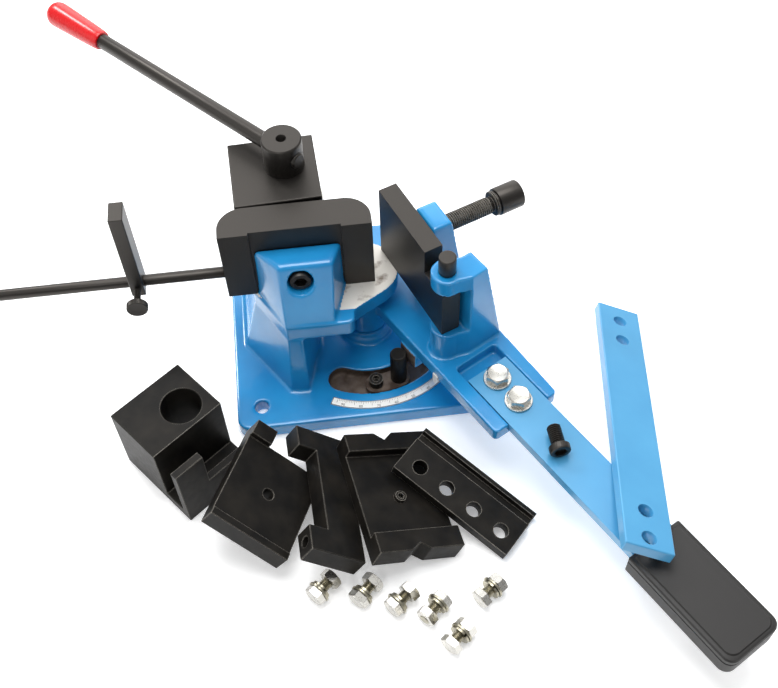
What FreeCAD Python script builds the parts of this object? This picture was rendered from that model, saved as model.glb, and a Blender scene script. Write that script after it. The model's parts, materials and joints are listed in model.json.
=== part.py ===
"""Universal bench metal bender with a cam clamp, a swinging bending arm and loose tooling.

Units are millimetres and degrees. +Z is up, +X runs to the operator's right along the front edge
of the base and +Y points to the back. The origin is on the underside of the base plate, at the
centre of its four mounting holes. Every separate piece is one node, written as parts/NODE.step.
"""
import FreeCAD, Part
import math
import os

from FreeCAD import Placement, Rotation, Vector

# ---------------------------------------------------------------- driving dimensions
# base plate
BASE_SIZE = 225.0
BASE_THICK = 16.0
BASE_CORNER_R = 12.0
MOUNT_HOLE_D = 13.0
MOUNT_HOLE_PITCH = 180.0
# column, platform and upright of the base casting
PLATFORM_Z0 = 80.0
PLATFORM_Z1 = 98.0
UPRIGHT_TOP_Z = 153.0
NOSE_R, NOSE_TANGENT = 31.0, -59.0
BED_X1, BED_Y1 = -14.0, 92.0
# arm pivot, seen in plan
PIVOT_X, PIVOT_Y = 14.0, -9.5
PIVOT_PIN_D = 18.0
PIVOT_PAD_D, PIVOT_PAD_Z1 = 50.0, 27.0
# arc slot for the angle stop, radii from the pivot
SLOT_R0, SLOT_R1 = 54.0, 79.0
SLOT_A0, SLOT_A1 = -116.0, -22.0
SLOT_FLOOR_Z = 6.0
SCALE_R0, SCALE_R1 = 88.0, 96.0
SCALE_THICK = 0.8
# former block
FORMER_W, FORMER_D, FORMER_H = 129.0, 31.0, 78.0
FORMER_X0, FORMER_Y1 = -106.0, 6.0
FORMER_CORNER_R = 22.0
FORMER_GROOVE_X0, FORMER_GROOVE_X1, FORMER_GROOVE_D = -80.5, -3.0, 2.5
FORMER_SCREW_X, FORMER_SCREW_Z = -41.5, 137.0
# clamp block and its cam lever
CLAMP_SIZE, CLAMP_TURN = 75.0, 2.5
CLAMP_CX, CLAMP_CY = -54.6, 46.2
CAM_X, CAM_Y = -45.0, 51.5
CAM_SHAFT_D, CAM_HEAD_D, CAM_HEAD_H = 22.0, 35.0, 31.0
CAM_TRAVEL = 4.0
LEVER_D, LEVER_TAIL, LEVER_REACH = 14.0, 19.0, 250.0
LEVER_AZIMUTH = 133.5
GRIP_LEN, GRIP_START, GRIP_D0, GRIP_D1 = 70.0, 229.0, 19.5, 24.0
# length stop
ROD_D, ROD_X0, ROD_X1, ROD_Y, ROD_Z = 10.0, -303.0, -90.0, -10.0, 114.5
STOP_BAR_X, STOP_BAR_W, STOP_BAR_D, STOP_BAR_H = -183.0, 12.0, 21.0, 98.0
STOP_BAR_DROP = 8.0
# angle stop riding in the arc slot
STOP_R = 66.5
STOP_PIN_D, STOP_PIN_Z1, STOP_PIN_ANGLE = 15.0, 50.0, -69.8
STOP_SCREW_D, STOP_SCREW_ANGLE = 13.0, -88.6
# bending arm, in its own frame: U along the arm, V to its right-hand side, origin on the pivot
ARM_ANGLE = -60.1
ARM_Z0, ARM_Z1 = 52.0, 66.0
ARM_LEFT_V, ARM_RIGHT_V, ARM_END_U = -1.3, 68.0, 189.0
HUB_D, HUB_Z0, HUB_Z1 = 40.0, 27.5, 79.5
PIN_U, PIN_V, HINGE_PIN_D = 93.0, 20.0, 13.0
LOWER_LUG_Z1, UPPER_LUG_Z0, UPPER_LUG_Z1 = 98.0, 154.0, 171.0
HINGE_PIN_Z1 = 189.0
LUG_R = 13.5
HANDLE_W, HANDLE_T, HANDLE_U0, HANDLE_U1, HANDLE_V = 42.0, 10.0, 134.0, 432.0, 34.2
HANDLE_BOLT_U = (148.0, 176.0)
GRIP_U0, GRIP_U1, GRIP_W, GRIP_Z0, GRIP_Z1 = 338.0, 446.0, 54.0, 46.0, 71.0
# pressing plate, hinged on the pin, in the plate's own frame: A along it, B through its thickness
PLATE_TURN = -8.0
PLATE_T, PLATE_LEN, PLATE_BODY_LEN = 17.0, 109.0, 79.0
PLATE_Z0, PLATE_Z1, PLATE_STEP_Z = 98.6, 176.0, 150.0
PLATE_PIN_A, PLATE_PIN_B = 101.0, 8.5
# pressure spindle, square to the plate
SPINDLE_A, SPINDLE_Z, SPINDLE_D = 33.0, 139.0, 16.0
SPINDLE_HEAD_D, SPINDLE_HEAD_LEN = 25.0, 28.0
UPRIGHT_B0, UPRIGHT_B1 = 26.5, 45.0
SPINDLE_PROUD, SPINDLE_NOSE_GAP, SPINDLE_COLLAR = 49.0, 0.3, 3.0
# M12 and M10 fastener sizes
M12_AF, M12_HEAD_H, M12_WASHER_D, M12_WASHER_T = 18.0, 7.5, 24.0, 2.5
M10_D, M10_AF, M10_HEAD_H, M10_LEN, M10_NUT_H = 10.0, 16.0, 6.4, 26.4, 8.0
M10_WASHER_D, M10_WASHER_T, M10_SPRING_D, M10_SPRING_T = 20.0, 2.0, 17.5, 2.4
# loose tooling: each place is (x, y, z of the lower front left corner, yaw, lift of the back, tilt to the right)
HOOK_DIE_PLACE = (-176.7, -165.5, 0.0, 38.7, 0.0, 0.0)
HOOK_DIE_L, HOOK_DIE_W, HOOK_DIE_H, HOOK_DIE_BORE_D = 73.0, 58.0, 75.0, 35.0
HOOK_GAP, HOOK_LEG_T, HOOK_WEB_T, HOOK_TALL_L, HOOK_LOW_H = 22.0, 7.3, 12.0, 28.5, 36.0
LIP_DIE_PLACE = (-141.9, -218.5, 55.4, -29.3, -11.2, 31.2)
LIP_DIE_W, LIP_DIE_L, LIP_DIE_T = 74.5, 100.0, 24.0
CHANNEL_DIE_PLACE = (-64.3, -261.9, 53.7, -4.9, -12.1, 38.2)
CHANNEL_DIE_W, CHANNEL_DIE_L, CHANNEL_DIE_T = 52.0, 129.0, 18.0
V_DIE_PLACE = (-8.3, -263.2, 30.0, 9.9, 0.7, 22.5)
V_DIE_W, V_DIE_L, V_DIE_T = 78.0, 114.0, 21.5
HOLE_BAR_PLACE = (17.5, -178.6, 29.9, -43.4, -1.7, 13.7)
HOLE_BAR_L, HOLE_BAR_W, HOLE_BAR_T, HOLE_BAR_LEDGE = 119.5, 35.0, 11.0, 13.0
EXTENSION_PLACE = (178.3, -301.7, 92.0, -15.7, -16.2, 17.3)
EXTENSION_W, EXTENSION_L, EXTENSION_T = 41.0, 298.0, 10.0
EXTENSION_HOLES = (11.0, 38.5, 249.0, 277.0)
SPARE_SCREW_U, SPARE_SCREW_V, SPARE_SCREW_TURN = 233.5, 27.9, 153.0
# six spare bolts: x and y of the head's outer face, azimuth from head to nut, whether the washers sit at the head
SPARE_BOLTS = (
    (-59.0, -276.0, 42.0, True),
    (-24.0, -284.0, 46.0, True),
    (3.0, -294.0, 38.0, True),
    (48.0, -288.0, -137.0, True),
    (45.0, -331.0, 42.0, False),
    (75.0, -295.0, 36.0, False),
)

Z_AXIS = Vector(0, 0, 1)


# ---------------------------------------------------------------- small helpers
def box(x0, x1, y0, y1, z0, z1):
    return Part.makeBox(x1 - x0, y1 - y0, z1 - z0, Vector(x0, y0, z0))


def cylinder(diameter, start, end):
    start, end = Vector(*start), Vector(*end)
    run = end - start
    return Part.makeCylinder(diameter / 2.0, run.Length, start, run)


def cone(d0, d1, start, end):
    start, end = Vector(*start), Vector(*end)
    run = end - start
    return Part.makeCone(d0 / 2.0, d1 / 2.0, run.Length, start, run)


def wire(points, z):
    corners = [Vector(x, y, z) for x, y in points]
    return Part.makePolygon(corners + corners[:1])


def slab(points, z0, z1):
    return Part.Face(wire(points, z0)).extrude(Vector(0, 0, z1 - z0))


def loft(lower, z0, upper, z1):
    return Part.makeLoft([wire(lower, z0), wire(upper, z1)], True, True)


def polar(radius, angle):
    return radius * math.cos(math.radians(angle)), radius * math.sin(math.radians(angle))


def hexagon(across_flats, z0, z1):
    corner_r = across_flats / math.sqrt(3.0)
    return slab([polar(corner_r, 60.0 * i) for i in range(6)], z0, z1)


def rounded(shape, radius, pick):
    """Fillet the edges that pick(edge) accepts."""
    edges = [e for e in shape.Edges if pick(e)]
    return shape.makeFillet(radius, edges)


def is_vertical(edge):
    if not isinstance(edge.Curve, Part.Line):
        return False
    return abs(edge.tangentAt(edge.FirstParameter).z) > 0.999


def near(edge, x, y, reach=1.0):
    middle = edge.CenterOfMass
    return math.hypot(middle.x - x, middle.y - y) < reach


def arc_band(r0, r1, a0, a1, z0, z1, round_ends=False):
    """Flat ring sector about the Z axis, with half-round ends if asked for."""
    ring = Part.makeCylinder(r1, z1 - z0, Vector(0, 0, z0)).cut(Part.makeCylinder(r0, z1 - z0, Vector(0, 0, z0)))
    reach = r1 * 3.0
    wedge_points = [(0.0, 0.0)] + [polar(reach, a0 + (a1 - a0) * i / 4.0) for i in range(5)]
    band = ring.common(slab(wedge_points, z0, z1))
    if round_ends:
        middle, width = (r0 + r1) / 2.0, r1 - r0
        for angle in (a0, a1):
            x, y = polar(middle, angle)
            band = band.fuse(cylinder(width, (x, y, z0), (x, y, z1)))
        band = band.removeSplitter()
    return band


ARM_FRAME = Placement(Vector(PIVOT_X, PIVOT_Y, 0), Rotation(Z_AXIS, ARM_ANGLE))
PIN_FRAME = Placement(Vector(PIN_U, PIN_V, 0), Rotation(Z_AXIS, PLATE_TURN))
PLATE_FRAME = ARM_FRAME.multiply(PIN_FRAME)


def placed(shape, frame):
    moved = shape.copy()
    moved.Placement = frame.multiply(moved.Placement)
    return moved


def on_arm(shape):
    return placed(shape, ARM_FRAME)


def on_plate(shape):
    """Place a shape drawn with its A axis along +X and the hinge pin at (PLATE_PIN_A, PLATE_PIN_B)."""
    shifted = placed(shape, Placement(Vector(-PLATE_PIN_A, -PLATE_PIN_B, 0), Rotation()))
    return placed(shifted, PLATE_FRAME)


def at_pivot(shape):
    return placed(shape, Placement(Vector(PIVOT_X, PIVOT_Y, 0), Rotation()))


# ---------------------------------------------------------------- base
def base_plate():
    half = BASE_SIZE / 2.0
    plate = box(-half, half, -half, half, 0, BASE_THICK)
    plate = rounded(plate, BASE_CORNER_R, is_vertical)
    return rounded(plate, 1.5, lambda e: abs(e.CenterOfMass.z - BASE_THICK) < 0.01)


def column():
    """Wedge-shaped column: a narrow rib at the front, a long left flank that spreads at the foot."""
    foot = [(-45.5, -78.5), (-61.5, -77.0), (-101.0, -20.0), (-101.0, BED_Y1), (-32.0, BED_Y1), (-32.0, -30.0)]
    top = [(-46.0, -68.0), (-58.5, -67.0), (-85.0, -21.5), (-85.0, BED_Y1), (-32.0, BED_Y1), (-32.0, -30.0)]
    return loft(foot, BASE_THICK - 1.0, top, PLATFORM_Z0 + 1.0)


def platform():
    """Flat bed under the former and the clamp block, with a round nose about the arm pivot."""
    back_y = PIVOT_Y + NOSE_R
    tangent = (PIVOT_X + polar(NOSE_R, NOSE_TANGENT)[0], PIVOT_Y + polar(NOSE_R, NOSE_TANGENT)[1])
    outline = [
        (-58.5, -67.0), (1.0, -67.0), (1.5, -53.5), tangent, (PIVOT_X, PIVOT_Y), (PIVOT_X, back_y),
        (BED_X1, back_y), (BED_X1, BED_Y1), (-85.0, BED_Y1), (-85.0, -21.5),
    ]
    bed = slab(outline, PLATFORM_Z0, PLATFORM_Z1)
    nose = cylinder(2 * NOSE_R, (PIVOT_X, PIVOT_Y, PLATFORM_Z0), (PIVOT_X, PIVOT_Y, PLATFORM_Z1))
    bed = bed.fuse(nose).removeSplitter()
    bed = rounded(bed, 7.0, lambda e: is_vertical(e) and near(e, 1.0, -67.0))
    return rounded(bed, 8.0, lambda e: is_vertical(e) and near(e, BED_X1, back_y))


def upright():
    """Tapered tongue that backs the former; its screw sits in a counterbore."""
    lower = [(-58.5, -67.0), (-16.5, -66.0), (-3.6, -22.8), (-80.0, -22.8)]
    upper = [(-59.3, -44.0), (-13.3, -44.0), (-4.3, -22.8), (-78.5, -22.8)]
    tongue = loft(lower, PLATFORM_Z1 - 1.0, upper, UPRIGHT_TOP_Z)
    return rounded(tongue, 4.0, lambda e: abs(e.CenterOfMass.z - UPRIGHT_TOP_Z) < 0.01 and e.CenterOfMass.y < -24.0)


def base_casting():
    body = base_plate().fuse([column(), platform(), upright()]).removeSplitter()
    pad = at_pivot(cylinder(PIVOT_PAD_D, (0, 0, BASE_THICK - 1), (0, 0, 22.0)))
    pad = pad.fuse(at_pivot(cylinder(PIVOT_PAD_D - 6, (0, 0, 20.0), (0, 0, PIVOT_PAD_Z1))))
    body = body.fuse(pad).removeSplitter()
    pocket = arc_band(SLOT_R0, SLOT_R1, SLOT_A0, SLOT_A1, SLOT_FLOOR_Z, BASE_THICK + 1, round_ends=True)
    body = body.cut(at_pivot(pocket))
    hole_at = MOUNT_HOLE_PITCH / 2.0
    for x in (-hole_at, hole_at):
        for y in (-hole_at, hole_at):
            body = body.cut(cylinder(MOUNT_HOLE_D, (x, y, -1), (x, y, BASE_THICK + 1)))
    body = body.cut(at_pivot(cylinder(PIVOT_PIN_D, (0, 0, 3.0), (0, 0, PLATFORM_Z1 + 1))))
    body = body.cut(cylinder(CAM_SHAFT_D + 0.1, (CAM_X, CAM_Y, 40.0), (CAM_X, CAM_Y, PLATFORM_Z1 + 1)))
    x, z = FORMER_SCREW_X, FORMER_SCREW_Z
    body = body.cut(cylinder(22.0, (x, -70.0, z), (x, -37.0, z)))
    body = body.cut(cylinder(12.2, (x, -40.0, z), (x, -20.0, z)))
    return body


def pivot_pin():
    return at_pivot(cylinder(PIVOT_PIN_D, (0, 0, 3.0), (0, 0, PLATFORM_Z1 - 0.5)))


def angle_scale():
    return at_pivot(arc_band(SCALE_R0, SCALE_R1, -116.0, -22.0, BASE_THICK, BASE_THICK + SCALE_THICK))


def former_block():
    x1, y0 = FORMER_X0 + FORMER_W, FORMER_Y1 - FORMER_D
    z0, z1 = PLATFORM_Z1, PLATFORM_Z1 + FORMER_H
    block = box(FORMER_X0, x1, y0, FORMER_Y1, z0, z1)
    block = rounded(block, FORMER_CORNER_R, lambda e: is_vertical(e) and e.CenterOfMass.y > FORMER_Y1 - 0.1)
    groove = box(FORMER_GROOVE_X0, FORMER_GROOVE_X1, y0 - 1, y0 + FORMER_GROOVE_D, z0 - 1, z1 + 1)
    block = block.cut(groove)
    x, z = FORMER_SCREW_X, FORMER_SCREW_Z
    block = block.cut(cylinder(12.0, (x, y0 - 1, z), (x, -6.0, z)))
    return block.cut(cylinder(ROD_D + 0.1, (FORMER_X0 - 1, ROD_Y, ROD_Z), (ROD_X1, ROD_Y, ROD_Z)))


def socket_screw(diameter, head_d, head_h, shank, socket_af):
    """Socket head cap screw along +Z: shank from -shank to 0, head from 0 to head_h."""
    screw = cylinder(diameter, (0, 0, -shank), (0, 0, 0.5)).fuse(cylinder(head_d, (0, 0, 0), (0, 0, head_h)))
    screw = screw.removeSplitter()
    return screw.cut(hexagon(socket_af, head_h * 0.45, head_h + 1))


def former_screw():
    screw = socket_screw(12.0, 18.0, 12.0, 30.0, 10.0)
    frame = Placement(Vector(FORMER_SCREW_X, -37.0, FORMER_SCREW_Z), Rotation(Vector(1, 0, 0), 90))
    return placed(screw, frame)


# ---------------------------------------------------------------- cam clamp
def clamp_frame():
    return Placement(Vector(CLAMP_CX, CLAMP_CY, 0), Rotation(Z_AXIS, CLAMP_TURN))


def clamp_block():
    half, z0, z1 = CLAMP_SIZE / 2.0, PLATFORM_Z1 + 0.1, PLATFORM_Z1 + FORMER_H
    block = box(-half, half, -half, half, z0, z1)
    edges = [e for e in block.Edges if not is_vertical(e) or e.CenterOfMass.z > z0]
    block = placed(block.makeChamfer(0.8, edges), clamp_frame())
    bore = cylinder(CAM_SHAFT_D + 0.4, (CAM_X, CAM_Y, z0 - 1), (CAM_X, CAM_Y, z1 + 1))
    bore_far = cylinder(CAM_SHAFT_D + 0.4, (CAM_X, CAM_Y - CAM_TRAVEL, z0 - 1), (CAM_X, CAM_Y - CAM_TRAVEL, z1 + 1))
    half_bore = CAM_SHAFT_D / 2.0 + 0.2
    web = box(CAM_X - half_bore, CAM_X + half_bore, CAM_Y - CAM_TRAVEL, CAM_Y, z0 - 1, z1 + 1)
    return block.cut(bore.fuse([bore_far, web]))


def lever_frame():
    mid_z = PLATFORM_Z1 + FORMER_H + CAM_HEAD_H / 2.0 + 0.2
    turn = Rotation(Z_AXIS, LEVER_AZIMUTH)
    return Placement(Vector(CAM_X, CAM_Y, mid_z), turn)


def cam_shaft():
    head_z0 = PLATFORM_Z1 + FORMER_H + 0.2
    head_z1 = head_z0 + CAM_HEAD_H
    head = cylinder(CAM_HEAD_D, (CAM_X, CAM_Y, head_z0), (CAM_X, CAM_Y, head_z1))
    head = head.makeChamfer(1.2, [e for e in head.Edges if abs(e.CenterOfMass.z - head_z1) < 0.01])
    shaft = cylinder(CAM_SHAFT_D, (CAM_X, CAM_Y, 42.0), (CAM_X, CAM_Y, head_z0 + 1))
    body = head.fuse(shaft).removeSplitter()
    body = body.cut(cone(3.0, 9.0, (CAM_X, CAM_Y, head_z1 - 7.0), (CAM_X, CAM_Y, head_z1)))
    cross = cylinder(LEVER_D, (-40.0, 0, 0), (40.0, 0, 0))
    return body.cut(placed(cross, lever_frame()))


def lever_rod():
    rod = cylinder(LEVER_D, (-LEVER_TAIL, 0, 0), (LEVER_REACH, 0, 0))
    rod = rod.makeChamfer(1.0, [e for e in rod.Edges if abs(e.CenterOfMass.x + LEVER_TAIL) < 0.01])
    return placed(rod, lever_frame())


def lever_grip():
    """Dipped plastic grip: a long taper that swells to a rounded far end."""
    end = GRIP_START + GRIP_LEN
    grip = cone(GRIP_D0, GRIP_D1, (GRIP_START, 0, 0), (end, 0, 0))
    grip = grip.makeFillet(5.0, [e for e in grip.Edges if abs(e.CenterOfMass.x - end) < 0.01])
    grip = grip.cut(cylinder(LEVER_D, (GRIP_START - 1, 0, 0), (LEVER_REACH, 0, 0)))
    return placed(grip, lever_frame())


# ---------------------------------------------------------------- length stop
def stop_rod():
    rod = cylinder(ROD_D, (ROD_X0, ROD_Y, ROD_Z), (ROD_X1, ROD_Y, ROD_Z))
    return rod.makeChamfer(0.8, [e for e in rod.Edges if abs(e.CenterOfMass.x - ROD_X0) < 0.01])


def stop_bar():
    half_w, half_d = STOP_BAR_W / 2.0, STOP_BAR_D / 2.0
    z0 = ROD_Z - STOP_BAR_DROP
    bar = box(STOP_BAR_X - half_w, STOP_BAR_X + half_w, ROD_Y - half_d, ROD_Y + half_d, z0, z0 + STOP_BAR_H)
    bar = bar.makeChamfer(0.6, bar.Edges)
    bar = bar.cut(cylinder(ROD_D + 0.1, (STOP_BAR_X - 20, ROD_Y, ROD_Z), (STOP_BAR_X + 20, ROD_Y, ROD_Z)))
    return bar.cut(cylinder(6.1, (STOP_BAR_X, ROD_Y - half_d - 1, ROD_Z), (STOP_BAR_X, ROD_Y, ROD_Z)))


def stop_thumb_screw():
    tip_y = ROD_Y - ROD_D / 2.0 - 0.15
    shaft = cylinder(6.0, (STOP_BAR_X, tip_y, ROD_Z), (STOP_BAR_X, -36.0, ROD_Z))
    head = cylinder(18.5, (STOP_BAR_X, -36.0, ROD_Z), (STOP_BAR_X, -42.0, ROD_Z))
    head = head.makeFillet(0.8, [e for e in head.Edges if len(e.Vertexes) == 1])
    return shaft.fuse(head).removeSplitter()


# ---------------------------------------------------------------- angle stop
def stop_shoe():
    """Curved foot that slides along the slot floor and carries the stop pin and its clamp screw."""
    shoe = arc_band(SLOT_R0 + 2.5, SLOT_R1 - 2.5, STOP_SCREW_ANGLE, STOP_PIN_ANGLE,
                    SLOT_FLOOR_Z + 0.1, SLOT_FLOOR_Z + 6.0, round_ends=True)
    for angle, hole_d in ((STOP_PIN_ANGLE, STOP_PIN_D - 3.0), (STOP_SCREW_ANGLE, 8.0)):
        x, y = polar(STOP_R, angle)
        shoe = shoe.cut(cylinder(hole_d, (x, y, 0), (x, y, 40)))
    return at_pivot(shoe)


def stop_pin():
    x, y = polar(STOP_R, STOP_PIN_ANGLE)
    shoe_top = SLOT_FLOOR_Z + 6.0
    pin = cylinder(STOP_PIN_D, (x, y, shoe_top), (x, y, STOP_PIN_Z1))
    pin = pin.makeChamfer(1.0, [e for e in pin.Edges if abs(e.CenterOfMass.z - STOP_PIN_Z1) < 0.01])
    pin = pin.fuse(cylinder(STOP_PIN_D - 3.0, (x, y, SLOT_FLOOR_Z + 0.3), (x, y, shoe_top + 1)))
    return at_pivot(pin.removeSplitter())


def stop_clamp_screw():
    x, y = polar(STOP_R, STOP_SCREW_ANGLE)
    screw = socket_screw(8.0, STOP_SCREW_D, 8.0, 5.6, 6.0)
    return at_pivot(placed(screw, Placement(Vector(x, y, SLOT_FLOOR_Z + 6.0), Rotation())))


# ---------------------------------------------------------------- bending arm
def arm_plate():
    outline = [
        (0.0, ARM_LEFT_V), (ARM_END_U, ARM_LEFT_V), (ARM_END_U, ARM_RIGHT_V - 1.5), (108.0, ARM_RIGHT_V + 2.0),
        (62.0, 74.0), (8.0, 74.0), (-8.0, 50.0), (-19.0, 6.0),
    ]
    plate = slab(outline, ARM_Z0, ARM_Z1)
    for corner in ((ARM_END_U, ARM_LEFT_V), (ARM_END_U, ARM_RIGHT_V - 1.5)):
        plate = rounded(plate, 4.0, lambda e: is_vertical(e) and near(e, *corner))
    half = HANDLE_W / 2.0 + 0.6
    channel = box(118.0, ARM_END_U + 1, HANDLE_V - half, HANDLE_V + half, ARM_Z1 - HANDLE_T, ARM_Z1 + 1)
    channel = rounded(channel, 3.0, lambda e: is_vertical(e) and e.CenterOfMass.x < 119.0)
    return plate.cut(channel)


def arm_fork():
    """C-shaped fork: lower lug, tapered web and upper lug that hold the vertical hinge pin."""
    web_u0, web_u1, web_v0 = 88.0, 111.0, 32.5
    profile = [(ARM_Z1 - 1, web_v0), (ARM_Z1 - 1, 69.0), (UPPER_LUG_Z1, 48.0), (UPPER_LUG_Z1, web_v0)]
    corners = [Vector(web_u0, v, z) for z, v in profile]
    web = Part.Face(Part.makePolygon(corners + corners[:1])).extrude(Vector(web_u1 - web_u0, 0, 0))
    parts = [web]
    for z0, z1 in ((ARM_Z1 - 1, LOWER_LUG_Z1), (UPPER_LUG_Z0, UPPER_LUG_Z1)):
        boss = cylinder(2 * LUG_R, (PIN_U, PIN_V, z0), (PIN_U, PIN_V, z1))
        neck = slab([(PIN_U - 9.0, PIN_V + 10.0), (PIN_U - 4.0, PIN_V - 12.9), (PIN_U + 9.2, PIN_V - 9.9),
                     (web_u1, web_v0), (web_u1, web_v0 + 6), (web_u0, web_v0 + 6)], z0, z1)
        parts += [boss, neck]
    fork = parts[0].fuse(parts[1:]).removeSplitter()
    return fork


def arm_back_upright():
    """Upright that carries the spindle thread, drawn in the pressing plate's frame."""
    a0, a1 = SPINDLE_A - 15.0, SPINDLE_A + 15.0
    top = [(a0, UPRIGHT_B0), (a1, UPRIGHT_B0), (a1, UPRIGHT_B1), (a0, UPRIGHT_B1)]
    foot = [(a0 - 6, UPRIGHT_B0 - 3), (a1 + 8, UPRIGHT_B0 - 3), (a1 + 8, UPRIGHT_B1 + 12), (a0 - 6, UPRIGHT_B1 + 12)]
    post = loft(foot, ARM_Z1 - 1, top, SPINDLE_Z + 18.0)
    post = rounded(post, 2.5, lambda e: abs(e.CenterOfMass.z - SPINDLE_Z - 18.0) < 0.01)
    return placed(placed(post, Placement(Vector(-PLATE_PIN_A, -PLATE_PIN_B, 0), Rotation())), PIN_FRAME)


def arm_casting():
    hub = cylinder(HUB_D, (0, 0, HUB_Z0), (0, 0, HUB_Z1))
    stop_lug = box(58.0, 80.0, -3.4, 8.0, 36.0, ARM_Z0 + 1)
    body = arm_plate().fuse([hub, arm_fork(), arm_back_upright(), stop_lug]).removeSplitter()
    body = body.cut(cylinder(PIVOT_PIN_D + 0.1, (0, 0, 0), (0, 0, 120)))
    body = body.cut(cylinder(HINGE_PIN_D, (PIN_U, PIN_V, 60.0), (PIN_U, PIN_V, 180)))
    for u in HANDLE_BOLT_U:
        body = body.cut(cylinder(12.0, (u, HANDLE_V, 30), (u, HANDLE_V, 80)))
    body = on_arm(body)
    bore = cylinder(SPINDLE_D + 0.1, (SPINDLE_A, 0, SPINDLE_Z), (SPINDLE_A, 90, SPINDLE_Z))
    return body.cut(on_plate(bore))


def hinge_pin():
    pin = cylinder(HINGE_PIN_D, (PIN_U, PIN_V, 62.0), (PIN_U, PIN_V, UPPER_LUG_Z1 + 1))
    head = cylinder(14.6, (PIN_U, PIN_V, UPPER_LUG_Z1), (PIN_U, PIN_V, HINGE_PIN_Z1))
    head = head.makeChamfer(0.8, [e for e in head.Edges if abs(e.CenterOfMass.z - HINGE_PIN_Z1) < 0.01])
    return on_arm(pin.fuse(head).removeSplitter())


def angle_pointer():
    """Small pointer on the arm's left flank, over the angle scale."""
    outline = [Vector(105, 0, 58), Vector(111, 0, 58), Vector(111, 0, 50), Vector(108, 0, 44), Vector(105, 0, 50)]
    blade = Part.Face(Part.makePolygon(outline + outline[:1])).extrude(Vector(0, -1.5, 0))
    blade.translate(Vector(0, ARM_LEFT_V, 0))
    return on_arm(blade)


def handle_bar():
    half = HANDLE_W / 2.0
    bar = box(HANDLE_U0, HANDLE_U1, HANDLE_V - half, HANDLE_V + half, ARM_Z1 - HANDLE_T, ARM_Z1)
    for u in HANDLE_BOLT_U:
        bar = bar.cut(cylinder(12.4, (u, HANDLE_V, 50), (u, HANDLE_V, 80)))
    return on_arm(bar)


def handle_bolts():
    solids = []
    seat = ARM_Z1 + M12_WASHER_T
    for index, u in enumerate(HANDLE_BOLT_U):
        shank = cylinder(12.0, (0, 0, ARM_Z0 - 4.0), (0, 0, seat + 0.5))
        head = hexagon(M12_AF, seat, seat + M12_HEAD_H)
        bolt = shank.fuse(head).removeSplitter()
        turn = Rotation(Z_AXIS, 18.0 + 25.0 * index)
        solids.append(placed(bolt, Placement(Vector(u, HANDLE_V, 0), turn)))
    return on_arm(Part.makeCompound(solids))


def ring_washer(outer_d, inner_d, z0, z1):
    return cylinder(outer_d, (0, 0, z0), (0, 0, z1)).cut(cylinder(inner_d, (0, 0, z0 - 1), (0, 0, z1 + 1)))


def handle_washers():
    ring = ring_washer(M12_WASHER_D, 12.4, ARM_Z1, ARM_Z1 + M12_WASHER_T)
    rings = [placed(ring, Placement(Vector(u, HANDLE_V, 0), Rotation())) for u in HANDLE_BOLT_U]
    return on_arm(Part.makeCompound(rings))


def handle_grip():
    half = GRIP_W / 2.0
    grip = box(GRIP_U0, GRIP_U1, HANDLE_V - half, HANDLE_V + half, GRIP_Z0, GRIP_Z1)
    grip = rounded(grip, 10.0, lambda e: is_vertical(e) and e.CenterOfMass.x > GRIP_U1 - 1)
    grip = rounded(grip, 4.0, lambda e: abs(e.CenterOfMass.z - GRIP_Z1) < 0.01)
    core = box(GRIP_U0 - 1, HANDLE_U1, HANDLE_V - HANDLE_W / 2.0, HANDLE_V + HANDLE_W / 2.0, ARM_Z1 - HANDLE_T, ARM_Z1)
    return on_arm(grip.cut(core))


# ---------------------------------------------------------------- pressing plate and spindle
def pressing_plate():
    body = box(0, PLATE_BODY_LEN, 0, PLATE_T, PLATE_Z0, PLATE_Z1)
    knuckle = box(PLATE_BODY_LEN - 1, PLATE_LEN, 0, PLATE_T, PLATE_Z0, PLATE_STEP_Z)
    plate = body.fuse(knuckle).removeSplitter()
    pin_at = (PLATE_PIN_A, PLATE_PIN_B)
    return on_plate(plate.cut(cylinder(HINGE_PIN_D + 0.1, (*pin_at, 90), (*pin_at, 190))))


def spindle():
    """Pressure screw square to the plate: ball nose, thread and a thin collar under the head."""
    a, z, radius = SPINDLE_A, SPINDLE_Z, SPINDLE_D / 2.0
    nose_b = PLATE_T + SPINDLE_NOSE_GAP
    collar_b = UPRIGHT_B1 + SPINDLE_PROUD
    screw = cylinder(SPINDLE_D, (a, nose_b + radius, z), (a, collar_b + 1, z))
    nose = Part.makeSphere(radius, Vector(a, nose_b + radius, z))
    collar = cylinder(SPINDLE_HEAD_D - 2, (a, collar_b, z), (a, collar_b + SPINDLE_COLLAR, z))
    return on_plate(screw.fuse([nose, collar]).removeSplitter())


def spindle_head():
    """Cylindrical turning head behind the collar, with a groove between the two."""
    a, z = SPINDLE_A, SPINDLE_Z
    start = UPRIGHT_B1 + SPINDLE_PROUD + SPINDLE_COLLAR
    end = start + SPINDLE_HEAD_LEN - SPINDLE_COLLAR
    head = cylinder(SPINDLE_HEAD_D, (a, start + 1.5, z), (a, end, z))
    head = head.makeFillet(2.0, [e for e in head.Edges if len(e.Vertexes) == 1 and max_b(e) > end - 0.1])
    return on_plate(head.fuse(cylinder(SPINDLE_HEAD_D - 5, (a, start, z), (a, start + 2, z))).removeSplitter())


def max_b(edge):
    return edge.BoundBox.YMax


# ---------------------------------------------------------------- loose tooling
def lying(shape, place):
    """Lay a tool drawn upright, with its lower front left corner at the origin, down at its place."""
    x, y, z, yaw, lift, tilt = place
    turn = Rotation(Z_AXIS, yaw).multiply(Rotation(Vector(0, 1, 0), tilt)).multiply(Rotation(Vector(1, 0, 0), lift))
    return placed(shape, Placement(Vector(x, y, z), turn))


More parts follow.
